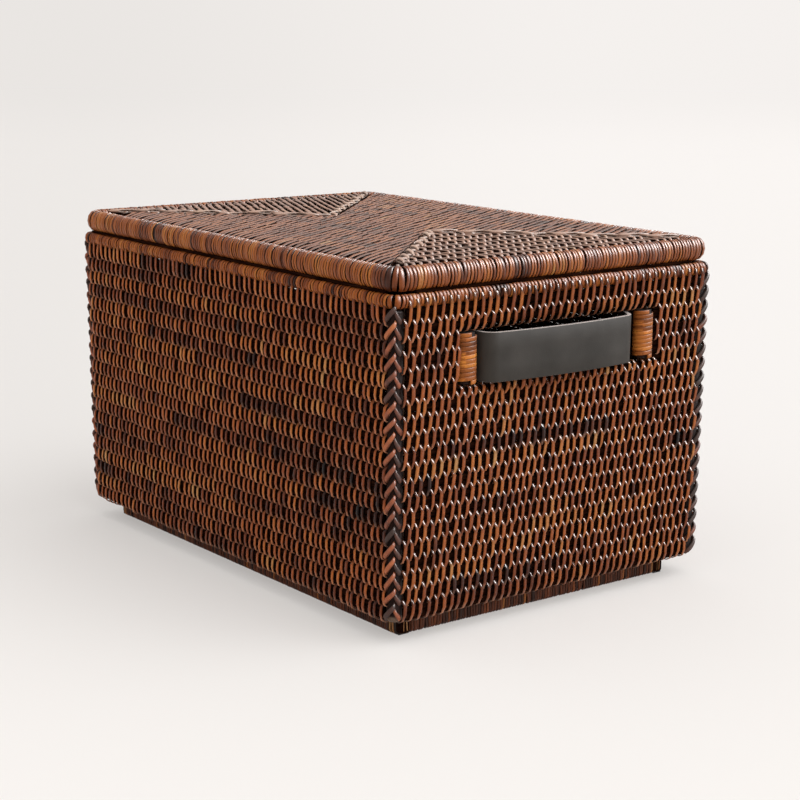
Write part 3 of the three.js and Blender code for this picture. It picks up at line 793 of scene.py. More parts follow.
# %% Stitches of the four walls
stitch_pitch = 5.7 * mm
stitch_height = 12.9 * mm
side_stitch_height = 10.6 * mm
stitch_width = 2.55 * mm
strand_thickness = 1.0 * mm
corner_reach = 4.8 * mm
foot_hang = 1.8 * mm
top_bend = 3 * mm
top_gap = 1.6 * mm
top_bulge = 2.2 * mm
jamb_gap = 1.5 * mm
jamb_pull = 3 * mm
clear_margin = 1.2 * mm
slot_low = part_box("right_strap")[0].z - 0.5 * mm
slot_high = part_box("right_strap")[1].z + 0.5 * mm
slot_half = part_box("right_handle_winding_back")[1].y + 0.4 * mm


def open_slot(piece, copies):
    """Clears the handle's slot in a wall that still faces -Y."""
    points = points_of(piece).reshape(copies, -1, 3)
    middle = points.mean(axis=1)
    beside_jamb = slot_half + jamb_gap
    level = (middle[:, 2] > slot_low) & (middle[:, 2] < slot_high)
    near = level & (np.abs(middle[:, 0]) > beside_jamb - jamb_pull) & (np.abs(middle[:, 0]) < beside_jamb)
    points[near, :, 0] += (np.sign(middle[near, 0]) * beside_jamb - middle[near, 0])[:, None]
    middle = points.mean(axis=1)
    beside = np.abs(middle[:, 0]) < slot_half + clear_margin
    inside = beside & (middle[:, 2] > slot_low) & (middle[:, 2] < slot_high)
    for copy in np.flatnonzero(beside & ~inside):
        height = points[copy, :, 2]
        low = height.min()
        high = height.max()
        if low < slot_low < high:
            points[copy, :, 2] = low + (height - low) * (slot_low - low) / (high - low)
        if low < slot_high < high:
            points[copy, :, 2] = high - (high - height) * (high - slot_high) / (high - low)
    set_points(piece, points.reshape(-1, 3))
    remove_points(piece, np.repeat(inside, points.shape[1]))


def lift_foot(piece):
    """The lowest row ends on the wall's foot, so its loops are shorter."""
    points = points_of(piece)
    low = points[:, 2].min()
    bend = wall_foot + row_pitch
    share = np.clip((bend - points[:, 2]) / (bend - low), 0, 1)
    points[:, 2] += share * (wall_foot - foot_hang - low)
    set_points(piece, points)


def raise_top(piece):
    """The strand of the highest row comes down from the rim, so its loops reach up over the rim's outside."""
    points = points_of(piece)
    top = points[:, 2].max()
    bend = wall_top - top_bend
    share = np.clip((points[:, 2] - bend) / (top - bend), 0, 1)
    outside = points[:, 1] < points[:, 1].mean()
    points[:, 2] += share * (basket_top - top_gap - top)
    points[:, 1] -= np.where(outside, top_bulge, 0) * share ** 2
    set_points(piece, points)


sides = [
    ("front", 0, False),
    ("back", math.pi, False),
    ("right", math.pi / 2, True),
    ("left", -math.pi / 2, True),
]
long_span = 2 * (half_length - wall_end_inset)
short_span = 2 * (half_width - wall_end_inset)
tail_slip = 2.3 * mm
side_slip = 1.6 * mm
side_tilt = -0.05


def weave_wall(side, turn, seed, at_end):
    """The bound strands of one wall. The stitches of the end walls are longer and lean the other way."""
    if at_end:
        span, half_span, finish = short_span, half_length, woven_rattan
        wall = model_stitch(stitch_height, wall_thickness, stitch_width, strand_thickness, -tail_slip)
    else:
        span, half_span, finish = long_span, half_width, side_rattan
        wall = model_stitch(
            side_stitch_height, wall_thickness, stitch_width, strand_thickness, side_slip, side_tilt)
    columns = int((span + 2 * corner_reach) // stitch_pitch)
    repeat(wall, columns, (stitch_pitch, 0, 0))
    repeat(wall, 2, (stitch_pitch / 2, 0, row_pitch))
    repeat(wall, row_count // 2, (0, 0, 2 * row_pitch))
    first_x = -(columns - 0.5) * stitch_pitch / 2
    move(wall, first_x, wall_thickness / 2 - half_span, wall_foot + row_pitch / 2)
    copies = columns * row_count
    mark_tones(wall, strand_runs(row_count, columns, seed, woven_tones), seed + 1)
    vary(wall, copies, seed + 2, (0.35 * mm, 0.12 * mm, 0.3 * mm))
    lift_foot(wall)
    raise_top(wall)
    if at_end:
        open_slot(wall, copies)
    turn_about_z(wall, turn)
    lean(wall)
    return hand_in(wall, f"{side}_wall_stitches", "basket", "woven_rattan", finish, f"{side}_wall_weave")


for number, (side, turn, at_end) in enumerate(sides):
    weave_wall(side, turn, 11 + 10 * number, at_end)

# %% [markdown]
# Behind the stitches lie the rods that they bind. They show only as dark lines in the gaps, but without
# them one would look through the wall. Each is a cylinder with its edges bevelled, copied up the wall;
# at the handle's slot the rods are short and end behind the jambs.

# %% Rods of the four walls
rod_pitch = row_pitch / 2
rod_radius = 2.3 * mm
rod_edge = 0.35 * mm
rod_flatness = 0.62
rod_count = 2 * row_count


def rod_stack(start, end, half_span, first, count):
    """Some rods of one length above each other in a wall that faces -Y."""
    inside = wall_thickness / 2 - half_span
    lowest = wall_foot + (first + 0.5) * rod_pitch
    rod = model_rod(end - start, rod_radius, ((start + end) / 2, inside, lowest))
    pick(rod)
    bpy.ops.mesh.bevel(offset=rod_edge, segments=1, affect="EDGES")
    bpy.ops.mesh.select_all(action="SELECT")
    bpy.ops.transform.resize(value=(1, rod_flatness, 1), center_override=(0, inside, 0))
    done(rod)
    repeat(rod, count, (0, 0, rod_pitch))
    return rod


def lay_rods(side, turn, at_end):
    """All the rods of one wall."""
    name = f"{side}_wall_rods"
    if at_end:
        edge, half_span, finish = short_span / 2, half_length, cane_along_y
    else:
        edge, half_span, finish = long_span / 2, half_width, cane_along_x
    low = int(round((slot_low - wall_foot) / rod_pitch - 0.45))
    high = int(round((slot_high - wall_foot) / rod_pitch + 0.45))
    if at_end:
        rods = join(name, [
            rod_stack(-edge, edge, half_span, 0, low),
            rod_stack(-edge, -slot_half, half_span, low, high - low),
            rod_stack(slot_half, edge, half_span, low, high - low),
            rod_stack(-edge, edge, half_span, high, rod_count - high),
        ])
    else:
        rods = rod_stack(-edge, edge, half_span, 0, rod_count)
    turn_about_z(rods, turn)
    lean(rods)
    return hand_in(rods, name, "basket", "dark_cane", finish)


for side, turn, at_end in sides:
    lay_rods(side, turn, at_end)

# %% [markdown]
# Round the mouth of the basket and round the lid runs a bent cane, bound all the way with strand laid
# turn by turn. Each turn is a ring across the cane. A straight row of rings is made first, so that the
# small differences between turns are easy to add, and a Curve modifier then bends the row round the
# box. The path is a plane with its corners bevelled and turned into a curve.

# %% Binding round a hoop
ring_steps = 12
ring_radius = 0.5
turn_shoulder = 0.92
path_steps = 8
turn_share = 0.88
turn_thickness = 0.85 * mm


def model_turn(across, height, width, thickness):
    """One turn of strand round a cane along X."""
    turn = model_ring(ring_steps, stitch_sides, ring_radius, thickness)
    flatten_strand(turn, ring_radius, thickness, turn_shoulder)
    points = points_of(turn)
    reach = np.hypot(points[:, 1], points[:, 2])
    share_y = points[:, 1] / reach
    share_z = points[:, 2] / reach
    points[:, 0] *= width / thickness
    points[:, 1] = share_y * ((across - thickness) / 2 + reach - ring_radius)
    points[:, 2] = share_z * ((height - thickness) / 2 + reach - ring_radius)
    set_points(turn, points)
    return turn


def hoop_path(half_x, half_y, bend, height):
    """A rectangle with round corners as a closed curve."""
    start_piece()
    bpy.ops.mesh.primitive_plane_add(size=2, location=(0, 0, height))
    path = bpy.context.object
    path.scale = (half_x, half_y, 1)
    done(path)
    pick(path)
    bpy.ops.mesh.bevel(offset=bend, segments=path_steps, affect="VERTICES")
    bpy.ops.mesh.delete(type="ONLY_FACE")
    done(path)
    bpy.ops.object.convert(target="CURVE")
    return path


def bind_hoop(rim, body, finish, across, height, bend, centre, inset, pitch, seed):
    """Turns of strand all round a hoop of the given section."""
    half_x = half_length - inset - across / 2
    half_y = half_width - inset - across / 2
    length = 4 * (half_x + half_y) - (8 - 2 * math.pi) * bend
    count = int(round(length / pitch))
    pitch = length / count
    binding = model_turn(across, height, turn_share * pitch, turn_thickness)
    repeat(binding, count, (pitch, 0, 0))
    move(binding, pitch / 2)
    mark_tones(binding, strand_runs(1, count, seed, rim_tones, longest=6), seed + 1)
    vary(binding, count, seed + 2, (0.2 * mm, 0.1 * mm, 0.1 * mm), 0.15)
    path = hoop_path(half_x, half_y, bend, centre)
    choose(binding)
    around = binding.modifiers.new("around", "CURVE")
    around.object = path
    around.deform_axis = "POS_X"
    bpy.ops.object.modifier_apply(modifier=around.name)
    bpy.data.objects.remove(path)
    return hand_in(binding, f"{rim}_turns", body, "rim_strand", finish, f"{rim}_binding")


# %% The two rims
rim_tones = [(0.28, 0.05), (0.44, 0.22), (0.55, 0.36), (0.64, 0.27), (0.72, 0.10)]
rim_height = 8 * mm
lid_rim_height = 13.2 * mm
lid_rim_swell = 1.2 * mm
lid_stand_off = 2 * mm
lid_inset = 0.7 * mm
lid_rim_centre = basket_top + lid_stand_off + lid_rim_height / 2
bind_hoop("rim", "basket", rim_strand, across=7 * mm, height=rim_height, bend=4.1 * mm,
          centre=basket_top - rim_height / 2, inset=0, pitch=2.6 * mm, seed=51)
bind_hoop("lid_rim", "lid", lid_rim_strand, across=11 * mm, height=lid_rim_height + lid_rim_swell,
          bend=5.8 * mm, centre=lid_rim_centre - lid_rim_swell / 2, inset=lid_inset, pitch=2.35 * mm, seed=61)

# %% [markdown]
# The box stands on a low frame of squared canes, set back from the walls and bound with fine dark strand.
# Beside each corner two turns are light, and the corners themselves are black and round. The turns are
# rounded squares: a torus pulled apart to both sides and up and down. The rows are straight, so no
# Curve modifier is needed; at the ends the turns are drawn in to follow the round corner.

# %% Bindings of the plinth
plinth_height = 13.4 * mm
plinth_width = 12 * mm
plinth_inset = 16.3 * mm
plinth_corner = 7 * mm
plinth_pitch = 2.1 * mm
plinth_proud = 0.3 * mm
plinth_round = 3.5 * mm
plinth_thickness = 1.3 * mm
plinth_turn_share = 1.08
plinth_end_gap = 4.2 * mm
light_turns = 5
light_tone = 0.8
golden_tone = 0.95
black_tone = 0.0


def model_square_turn(across, height, edge_round, width, thickness):
    """One turn of strand round a squared cane along X."""
    turn = model_ring(ring_steps, 4, edge_round - thickness / 2, thickness)
    turn.rotation_euler = (math.pi / ring_steps, 0, 0)
    done(turn)
    for way in (1, -1):
        pick(turn, lambda point: point.y * way > 0)
        bpy.ops.transform.translate(value=(0, way * (across / 2 - edge_round), 0))
        pick(turn, lambda point: point.z * way > 0)
        bpy.ops.transform.translate(value=(0, 0, way * (height / 2 - edge_round)))
    pick(turn)
    bpy.ops.transform.resize(value=(width / thickness, 1, 1), center_override=(0, 0, 0))
    done(turn)
    return turn


def bind_plinth(side, length, half_span, turn, rounded, seed):
    """The turns on one side of the plinth."""
    chance = np.random.default_rng(seed)
    count = int(length // plinth_pitch)
    pitch = length / count
    turn_width = plinth_turn_share * pitch
    binding = model_square_turn(plinth_width, plinth_height, plinth_round, turn_width, plinth_thickness)
    repeat(binding, count, (pitch, 0, 0))
    tones = chance.normal(0.30, 0.06, (1, count))
    light = chance.choice(count, light_turns, replace=False)
    tones[0, light] = light_tone
    black = 2 if rounded else 0
    tones[0, :black + 2] = golden_tone
    tones[0, count - black - 2:] = golden_tone
    tones[0, :black] = black_tone
    tones[0, count - black:] = black_tone
    mark_tones(binding, tones, seed + 1)
    vary(binding, count, seed + 2, (0.08 * mm, 0.05 * mm, 0.0))
    points = points_of(binding)
    points[:, 0] += (pitch - length) / 2
    points[:, 2] += plinth_height / 2
    points[:, 1] -= half_span - plinth_inset - plinth_width / 2 + (0 if rounded else plinth_proud)
    points[:, 0] = points[:, 0].clip(-length / 2, length / 2)
    points[:, 2] = points[:, 2].clip(0, plinth_height)
    if rounded:
        face = -(half_span - plinth_inset)
        into = np.clip(plinth_corner - (length / 2 - np.abs(points[:, 0])), 0, plinth_corner)
        limit = face + plinth_corner - np.sqrt(plinth_corner ** 2 - into ** 2)
        points[:, 1] = np.maximum(points[:, 1], limit)
    set_points(binding, points)
    turn_about_z(binding, turn)
    solid = f"plinth_binding_{side}"
    return hand_in(binding, f"plinth_turns_{side}", "basket", "plinth_strand", plinth_strand, solid)


plinth_long = 2 * (half_length - plinth_inset)
plinth_short = 2 * (half_width - plinth_inset - plinth_end_gap)
for number, (side, turn, at_end) in enumerate(sides):
    seed = 71 + 3 * number
    if at_end:
        bind_plinth(side, plinth_short, half_length, turn, False, seed)
    else:
        bind_plinth(side, plinth_long, half_width, turn, True, seed)

# %% [markdown]
# At the corners the two walls are laced round an upright cane. Each row has one chevron of flat strip: a
# long half that comes from the long wall and crosses the corner, and a short half beside it on the end
# wall. A strip is a grid made thick with Solidify and slightly domed. It is modelled lying straight, as
# the copies are then easy to place in the unrolled corner, and the unrolled corner is bent round after.

# %% Flat strips of strand
def model_strip(length, width, thickness, steps):
    """A domed flat strip along X, its front towards -Y, with its UV map running along and across."""
    strip = model_grid(steps, 4)
    strip.scale = (length, 1, width)
    done(strip)
    strip.modifiers.new("thick", "SOLIDIFY").thickness = thickness
    bpy.ops.object.modifier_apply(modifier="thick")
    points = points_of(strip)
    across = points[:, 2] / (width / 2)
    points[:, 1] -= 0.45 * thickness * (1 - across ** 2)
    set_points(strip, points)
    strand = strip.data.uv_layers["UVMap"]
    flat = np.empty(2 * len(strand.data))
    strand.data.foreach_get("uv", flat)
    flat[1::2] = 0.5 + (flat[1::2] - 0.5) * 0.5
    strand.data.foreach_set("uv", flat)
    return strip


# %% Laced corners
corners = [
    ("front_right", 1, -1, 0),
    ("back_right", 1, 1, math.pi / 2),
    ("back_left", -1, 1, math.pi),
    ("front_left", -1, -1, -math.pi / 2),
]
corner_bend = 5 * mm
lacing_rows = row_count
lacing_thickness = 1.3 * mm
lacing_depth = 0.8 * mm
tuck_depth = 2.2 * mm
chevron_tones = [(0.10, 0.25), (0.24, 0.30), (0.36, 0.25), (0.48, 0.20)]


def round_corner(run, outward):
    """From the unrolled corner, along and outward, to x and y measured from the corner's outer edge."""
    quarter = corner_bend * math.pi / 4
    angle = -math.pi / 4 + np.clip(run, -quarter, quarter) / corner_bend
    beyond = run - np.clip(run, -quarter, quarter)
    x = -corner_bend + (corner_bend + outward) * np.cos(angle) + np.minimum(beyond, 0)
    y = corner_bend + (corner_bend + outward) * np.sin(angle) + np.maximum(beyond, 0)
    return x, y


def lace_half(length, width, slope, middle, height, proud, seed):
    """One half of the chevrons of a corner, unrolled: X along the walls, -Y outward, Z up."""
    chance = np.random.default_rng(seed)
    strips = model_strip(length, width, lacing_thickness, 8)
    repeat(strips, lacing_rows, (0, 0, row_pitch))
    points = points_of(strips).reshape(lacing_rows, -1, 3)
    rows = np.arange(lacing_rows)[:, None] * row_pitch
    along = points[:, :, 0]
    across = points[:, :, 2] - rows
    tilt = slope + chance.normal(0, 0.05, (lacing_rows, 1))
    tuck = np.abs(along / (length / 2)) ** 4
    laid = np.empty_like(points)
    laid[:, :, 0] = along * np.cos(tilt) - across * np.sin(tilt) + middle
    laid[:, :, 0] += chance.normal(0, 0.3 * mm, (lacing_rows, 1))
    laid[:, :, 1] = points[:, :, 1] - proud + tuck_depth * tuck
    laid[:, :, 2] = along * np.sin(tilt) + across * np.cos(tilt) + rows + height
    set_points(strips, laid.reshape(-1, 3))
    tones = strand_runs(1, lacing_rows, seed + 1, chevron_tones) + chance.normal(0, 0.1, (1, lacing_rows))
    tones[0, -1] = 0.05
    mark_tones(strips, tones, seed + 2)
    return strips


def lace_corner(corner, side_x, side_y, turn, seed):
    """The chevrons of one corner, bent round it and moved to its place."""
    long_half = lace_half(length=15.5 * mm, width=2.9 * mm, slope=math.radians(44), middle=-3.4 * mm,
                          height=6.3 * mm, proud=0.3 * mm, seed=seed)
    short_half = lace_half(length=11.5 * mm, width=2.8 * mm, slope=math.radians(-50), middle=3.8 * mm,
                           height=5.0 * mm, proud=-0.9 * mm, seed=seed + 5)
    lacing = join("lacing", [long_half, short_half])
    points = points_of(lacing)
    points[:, 0], points[:, 1] = round_corner(points[:, 0], -points[:, 1] - lacing_depth)
    points[:, 2] += wall_foot
    set_points(lacing, points)
    turn_about_z(lacing, turn)
    move(lacing, side_x * half_length, side_y * half_width)
    lean(lacing)
    solid = f"corner_lacing_{corner}"
    return hand_in(lacing, f"corner_chevrons_{corner}", "basket", "woven_rattan", laced_rattan, solid)


for number, (corner, side_x, side_y, turn) in enumerate(corners):
    lace_corner(corner, side_x, side_y, turn, 101 + 20 * number)

# %% [markdown]
# The lid is three woven sheets inside the bound hoop: a middle one whose rods run along the lid, and a
# triangle at each end whose rods run across, so the joints look like the back of an envelope. The same
# loop as in the walls is used, laid flat. A whole rectangle is laid first and the loops outside the
# sheet's outline are deleted, or shortened where they cross it, which keeps the rows of the sheets true.

# %% Woven sheets of the lid
lid_top = basket_top + lid_stand_off + lid_rim_height
lid_weave_thickness = 5.6 * mm
lid_weave_top = lid_top - 0.4 * mm
lid_rod_pitch = 4.4 * mm
lid_rod_flatness = 0.6
lid_border = 11.3 * mm
lid_sheet_x = half_length - lid_inset - lid_border
lid_sheet_y = half_width - lid_inset - lid_border
mitre_x = lid_sheet_x - lid_sheet_y
middle_gap = 7 * mm
end_overlap = 1.5 * mm
most_cut_away = 0.75
lid_tones = [(0.40, 0.15), (0.50, 0.30), (0.58, 0.30), (0.68, 0.25)]


def lay_flat(piece, top, thickness):
    """Tips a sheet that faces -Y on its back, so that its front faces up."""
    points = points_of(piece)
    laid = np.column_stack([points[:, 0], points[:, 2], -points[:, 1]])
    laid[:, 2] += top - thickness / 2
    set_points(piece, laid)


def weave_flat(size_x, size_y, pitch, top, thickness, width, slant, step, seed, tones):
    """A flat woven rectangle with its rods along X and its loops slanted; gives its loop count as well."""
    columns = int(size_x // stitch_pitch)
    rows = int(round(size_y / pitch - 0.4))
    pitch = size_y / (rows + 0.4)
    sheet = model_stitch(1.4 * pitch, thickness, width, strand_thickness, 0.4 * tail_slip)
    points = points_of(sheet)
    points[:, 0] += slant * points[:, 2]
    set_points(sheet, points)
    repeat(sheet, columns, (stitch_pitch, 0, 0))
    repeat(sheet, rows, (0, 0, pitch))
    points = points_of(sheet).reshape(rows, -1, 3)
    points[:, :, 0] -= columns * stitch_pitch / 2
    points[:, :, 0] += ((np.arange(rows) * (slant * pitch + step)) % stitch_pitch)[:, None]
    points[:, :, 2] -= (rows - 1) * pitch / 2
    set_points(sheet, points.reshape(-1, 3))
    mark_tones(sheet, strand_runs(rows, columns, seed, tones), seed + 1)
    vary(sheet, rows * columns, seed + 2, (0.3 * mm, 0.1 * mm, 0.3 * mm))
    lay_flat(sheet, top, thickness)
    return sheet, rows * columns


def end_at_mitres(sheet, copies, outside, along):
    """Shortens the loops that cross a mitre to end there, and deletes those that would be too short."""
    points = points_of(sheet).reshape(copies, -1, 3)
    beyond = outside(points[:, :, 0], points[:, :, 1]).clip(0)
    length = np.ptp(points[:, :, along], axis=1)
    too_short = beyond.max(axis=1) > most_cut_away * length
    away = np.sign(points[:, :, along].mean(axis=1, keepdims=True))
    points[:, :, along] += away * beyond
    set_points(sheet, points.reshape(-1, 3))
    remove_points(sheet, np.repeat(too_short, points.shape[1]))


middle_sheet, loops = weave_flat(
    2 * lid_sheet_x, 2 * lid_sheet_y, pitch=14 * mm, top=lid_weave_top, thickness=lid_weave_thickness,
    width=3.3 * mm, slant=-0.39, step=2.8 * mm, seed=201, tones=lid_tones)
end_at_mitres(middle_sheet, loops, lambda x, y: np.abs(x) - mitre_x - np.abs(y) + middle_gap, 1)
hand_in(middle_sheet, "lid_stitches_middle", "lid", "lid_rattan", lid_rattan, "lid_weave_middle")

for end, side, seed in (("right", 1, 211), ("left", -1, 221)):
    end_sheet, loops = weave_flat(
        2 * lid_sheet_y, 2 * lid_sheet_x, pitch=16 * mm, top=lid_weave_top, thickness=lid_weave_thickness,
        width=2.35 * mm, slant=0.28, step=2.6 * mm, seed=seed, tones=lid_tones)
    turn_about_z(end_sheet, -side * math.pi / 2)
    end_at_mitres(end_sheet, loops, lambda x, y: mitre_x + np.abs(y) - end_overlap - x * side, 0)
    hand_in(end_sheet, f"lid_stitches_{end}", "lid", "lid_rattan", lid_end_rattan, f"lid_weave_{end}")

# %% [markdown]
# Under the loops of each sheet lie its rods. They are cut along the mitres with the bisect operator,
# which leaves clean slanted ends, as a saw would.

# %% Rods of the lid
def flat_rods(name, body, level, size_x, size_y, turn, cuts, finish):
    """Rods along X inside a flat sheet, turned and then cut by upright planes."""
    count = int(size_y / lid_rod_pitch)
    rods = model_rod(size_x, rod_radius, (0, -(count - 1) * lid_rod_pitch / 2, level))
    rods.scale = (1, 1, lid_rod_flatness)
    rods.location.z += (1 - lid_rod_flatness) * level
    done(rods)
    repeat(rods, count, (0, lid_rod_pitch, 0))
    turn_about_z(rods, turn)
    for point, normal in cuts:
        pick(rods)
        bpy.ops.mesh.bisect(plane_co=point, plane_no=normal, use_fill=True, clear_outer=True)
        done(rods)
    return hand_in(rods, name, body, "dark_cane", finish)


lid_rod_level = lid_weave_top - lid_weave_thickness / 2
for end, side in (("right", 1), ("left", -1)):
    flat_rods(f"lid_rods_{end}", "lid", lid_rod_level, 2 * lid_sheet_y, 2 * lid_sheet_x, math.pi / 2, [
        ((side * mitre_x, 0, 0), (-side, 1, 0)),
        ((side * mitre_x, 0, 0), (-side, -1, 0)),
    ], cane_along_y)
    flat_rods(f"lid_rods_middle_{end}", "lid", lid_rod_level, 2 * lid_sheet_x, 2 * lid_sheet_y, 0, [
        ((0, 0, 0), (-side, 0, 0)),
    ], cane_along_x)

# %% [markdown]
# The mitres are laced with a pale strand that goes over and under as a loose braid, a little higher than
# the sheets. The braid is two rows of turns, made as in the rims and slanted, one row each way.

# %% Laced mitres
seam_pitch = 20 * mm
seam_height = 2.8 * mm
seam_width = 7.5 * mm
seam_thickness = 1.3 * mm
seam_start = 8 * mm
seam_tones = [(0.5, 0.3), (0.7, 0.4), (0.9, 0.3)]


def lace_mitre(corner, side_x, side_y, seed):
    """A braid along one diagonal of the lid."""
    length = lid_sheet_y * math.sqrt(2) - 3 * mm
    most = int(round(length / seam_pitch))
    pitch = length / most
    halves = []
    for slope, start, across, rise in ((2.0, 0.0, 6.4 * mm, 1.8 * mm), (-2.0, 0.5, 5.6 * mm, 1.3 * mm)):
        turns = model_turn(across, seam_height, seam_width, seam_thickness)
        points = points_of(turns)
        points[:, 0] += slope * points[:, 1] + start * pitch + seam_start
        points[:, 2] += lid_weave_top + rise - seam_height / 2
        set_points(turns, points)
        count = most if start == 0 else most - 1
        repeat(turns, count, (pitch, 0, 0))
        own_seed = seed + int(10 * start)
        mark_tones(turns, strand_runs(1, count, own_seed, seam_tones), own_seed + 1)
        vary(turns, count, own_seed + 2, (0.5 * mm, 0.4 * mm, 0.4 * mm), 0.15)
        halves.append(turns)
    seam = join("mitre", halves)
    turn_about_z(seam, math.atan2(side_y, side_x))
    move(seam, side_x * mitre_x)
    return hand_in(seam, f"lid_mitre_{corner}", "lid", "lid_rattan", lid_lacing, f"lid_seam_{corner}")


for number, (corner, side_x, side_y, turn) in enumerate(corners):
    lace_mitre(corner, side_x, side_y, 231 + 10 * number)

# %% [markdown]
# The bottom of the basket is one more sheet of the same weave, seen only when the lid is off.

# %% Base sheet
base_low, base_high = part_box("base_weave")
base_size = base_high - base_low
base_sheet, loops = weave_flat(
    base_size.x, base_size.y, pitch=1.2 * row_pitch, top=base_high.z, thickness=base_size.z,
    width=stitch_width, slant=0, step=stitch_pitch / 2, seed=271, tones=woven_tones)
hand_in(base_sheet, "base_stitches", "basket", "woven_rattan", woven_rattan, "base_weave")
base_level = (base_low.z + base_high.z) / 2
flat_rods("base_rods", "basket", base_level, base_size.x - 1 * mm, base_size.y - 1 * mm, 0, [], cane_along_x)

# %% [markdown]
# Each side of a handle's slot has an upright cane wound with one flat golden strand. A winding is a
# spiral by nature, so it is made with the Screw modifier: the strand's section, a flat strip with its
# corners bevelled, goes round and climbs by one strand for each turn. A stack of rings would be easier
# to vary, but one would see that the turns never climb.

# %% Wound jambs
winding_turns = 11
winding_steps = 24
winding_margin = 1 * mm
winding_thickness = 1.16 * mm
winding_depth = 0.55 * mm
winding_round = 0.45 * mm
winding_share = 0.97


def wind_jamb(end, side, seed):
    """One strand wound up a jamb, in the place of its solid."""
    chance = np.random.default_rng(seed)
    solid = f"{end}_handle_winding_{side}"
    low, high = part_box(solid)
    middle = (low + high) / 2
    pitch = (high.z - low.z - 2 * winding_margin) / winding_turns
    radius_y = (high.y - low.y) / 2 - winding_depth
    radius_x = (high.x - low.x) / 2 - winding_depth
    start_piece()
    start = (radius_y, 0, low.z + winding_margin)
    bpy.ops.mesh.primitive_plane_add(size=2, location=start, rotation=(math.pi / 2, 0, 0))
    winding = bpy.context.object
    winding.scale = (winding_thickness / 2, winding_share * pitch / 2, 1)
    done(winding)
    pick(winding)
    bpy.ops.mesh.bevel(offset=winding_round, segments=2, affect="VERTICES")
    bpy.ops.mesh.delete(type="ONLY_FACE")
    done(winding)
    spiral = winding.modifiers.new("spiral", "SCREW")
    spiral.axis = "Z"
    spiral.iterations = winding_turns
    spiral.steps = winding_steps
    spiral.render_steps = winding_steps
    spiral.screw_offset = pitch
    spiral.use_merge_vertices = False
    bpy.ops.object.modifier_apply(modifier="spiral")
    pick(winding)
    bpy.ops.mesh.fill_holes(sides=0)
    face_outward(winding)
    points = points_of(winding)
    angle = np.arctan2(points[:, 1], points[:, 0])
    outward = np.hypot(points[:, 0], points[:, 1]) - radius_y
    turn = np.clip(((points[:, 2] - low.z) / pitch).astype(int), 0, winding_turns)
    points[:, 0] = middle.x + (radius_x + outward) * np.cos(angle)
    points[:, 1] = middle.y + (radius_y + outward) * np.sin(angle)
    points[:, 2] += chance.normal(0, 0.08 * mm, winding_turns + 1)[turn]
    set_points(winding, points)
    note(winding, "tone", chance.normal(0.50, 0.10, winding_turns + 1)[turn])
    note(winding, "chance", chance.random(winding_turns + 1)[turn])
    strand = winding.data.uv_layers.get("UVMap") or winding.data.uv_layers.new(name="UVMap")
    corner = np.empty(len(winding.data.loops), dtype=int)
    winding.data.loops.foreach_get("vertex_index", corner)
    along = angle[corner] / (2 * math.pi)
    across = 0.5 - np.clip(0.5 - outward[corner] / winding_thickness, 0, 1) / 2
    strand.data.foreach_set("uv", np.column_stack([along, across]).ravel())
    return hand_in(winding, f"{end}_jamb_spiral_{side}", "basket", "golden_strand", golden_strand, solid)


for end in ("right", "left"):
    for side in ("front", "back"):
        wind_jamb(end, side, 301 + 10 * len(end) + len(side))

# %% [markdown]
# The handles are bands of thick leather. Seen from above a band bows out of the slot, turns in beside the
# jambs and is hooked round a dowel behind each. A flat grid is moved onto that route row by row, which
# keeps its width even, and Solidify then makes it thick and gives the cut edges their own finish: the
# leather is dyed dark on its face only, so the raw edge is pale.

# %% Leather finishes
leather_dye = [(0.3, (0.030, 0.026, 0.022)), (0.75, (0.050, 0.043, 0.037))]
raw_leather = [(0.35, (0.17, 0.115, 0.09)), (0.7, (0.36, 0.27, 0.225))]

leather, hide, hide_surface = new_finish("strap_leather")
pores = add_node(hide, "ShaderNodeTexVoronoi", {"Vector": object_place(hide), "Scale": 1500}, feature="F1")
cloud = noise(hide, object_place(hide), 45, 5)
fill(hide, hide_surface, {
    "Base Color": ramp(hide, cloud, leather_dye),
    "Roughness": ranged(hide, cloud, 0.3, 0.7, 0.48, 0.6),
    "Specular IOR Level": 0.1,
    "Normal": bumped(hide, pores.outputs["Distance"], 0.25, 0.1 * mm),
})
raw_edge, cut, cut_surface = new_finish("leather_raw_edge")
fluff = noise(cut, object_place(cut), 900, 3)
fill(cut, cut_surface, {"Base Color": ramp(cut, fluff, raw_leather), "Roughness": 0.8})
print("leather finishes ready")

# %% Strap handles
strap_thickness = 2.6 * mm
strap_turn = 8 * mm
strap_stand_off = 5 * mm
strap_bow = 3.4 * mm
strap_slack = 6.6 * mm
dowel_radius = 3.4 * mm
dowel_gap = 0.3 * mm
half_grip = 63 * mm
strap_clearance = 0.5 * mm
jamb_outer = 1 * mm
jamb_depth = 10.6 * mm
tail_gap = 0.6 * mm
hook_radius = dowel_radius + dowel_gap + strap_thickness / 2
leg_along = half_grip - strap_clearance - strap_thickness / 2
dowel_along = leg_along + hook_radius
jamb_inner = jamb_outer - jamb_depth
dowel_outward = jamb_inner - dowel_gap - dowel_radius


def arc(outward, along, radius, facing):
    """Points round a centre, outward and along."""
    return np.column_stack([outward + radius * np.cos(facing), along + radius * np.sin(facing)])


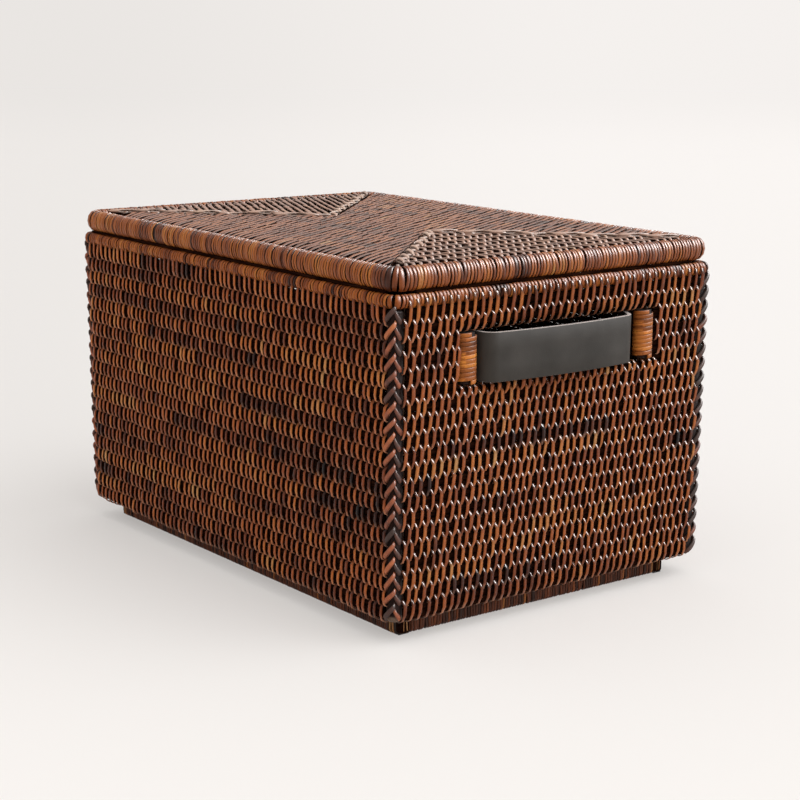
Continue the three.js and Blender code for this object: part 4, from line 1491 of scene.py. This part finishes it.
def strap_half(leg):
    """Half of the strap's route, outward and along, from the middle of the bow to the tail."""
    band_end = leg - strap_turn
    bow_radius = (band_end ** 2 + strap_bow ** 2) / (2 * strap_bow)
    bow_angle = math.asin(band_end / bow_radius)
    facing = np.linspace(0, bow_angle, 14)[:-1]
    bow_outward = strap_stand_off + strap_bow - bow_radius
    bow = arc(bow_outward, 0, bow_radius, facing)
    turn_outward = strap_stand_off - strap_turn * math.cos(bow_angle)
    turn_along = band_end - strap_turn * math.sin(bow_angle)
    behind = turn_outward - dowel_outward
    beside = dowel_along - turn_along
    slant = math.atan2(beside, behind) - math.asin((strap_turn + hook_radius) / math.hypot(behind, beside))
    facing = np.linspace(bow_angle, math.pi / 2 - slant, 11)
    turn = arc(turn_outward, turn_along, strap_turn, facing)
    facing = np.linspace(math.pi / 2 - slant, -math.pi / 2, 15)
    hook = arc(dowel_outward, dowel_along, -hook_radius, facing)
    tail = [[jamb_inner - tail_gap, dowel_along + hook_radius]]
    return np.vstack([bow, turn, hook, tail])


def make_strap(end, turn):
    """A leather strap on its route, in the place of its solid."""
    tight = strap_half(leg_along)[1:][::-1] * (1, -1)
    route = np.vstack([tight, strap_half(leg_along - strap_slack)])
    low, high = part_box(f"{end}_strap")
    strap = model_grid(len(route) - 1, 3)
    points = points_of(strap)
    row = np.rint((points[:, 0] + 0.5) * (len(route) - 1)).astype(int)
    up = points[:, 2]
    laid = np.column_stack([
        half_length + route[row, 0],
        route[row, 1],
        (low.z + high.z) / 2 + up * (high.z - low.z),
    ])
    set_points(strap, laid)
    strap.data.materials.append(leather)
    strap.data.materials.append(raw_edge)
    choose(strap)
    thick = strap.modifiers.new("thick", "SOLIDIFY")
    thick.thickness = strap_thickness
    thick.offset = 0
    thick.material_offset_rim = 1
    bpy.ops.object.modifier_apply(modifier="thick")
    soft = strap.modifiers.new("soft", "BEVEL")
    soft.width = 0.4 * mm
    soft.segments = 2
    soft.limit_method = "ANGLE"
    soft.angle_limit = math.radians(50)
    bpy.ops.object.modifier_apply(modifier="soft")
    face_outward(strap)
    turn_about_z(strap, turn)
    lean(strap)
    hand_in(strap, f"{end}_strap_band", f"{end}_strap_body", "strap_leather", None, f"{end}_strap")
    bpy.ops.object.shade_smooth_by_angle(angle=math.radians(35))
    return strap


make_strap("right", 0)
make_strap("left", math.pi)

# %% [markdown]
# Canes that keep their measured solid only need their finish, turned so that the grain runs along them.

# %% Finishes of the plain canes
for node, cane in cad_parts.items():
    if cane.hide_render:
        continue
    low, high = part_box(node)
    size = high - low
    longest = max(range(3), key=lambda axis: size[axis])
    finish = (cane_along_x, cane_along_y, cane_upright)[longest]
    if node.startswith("corner_post"):
        finish = cut_post
    cane.data.materials.clear()
    cane.data.materials.append(finish)
print("canes left as solids:", sum(not cane.hide_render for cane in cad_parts.values()))
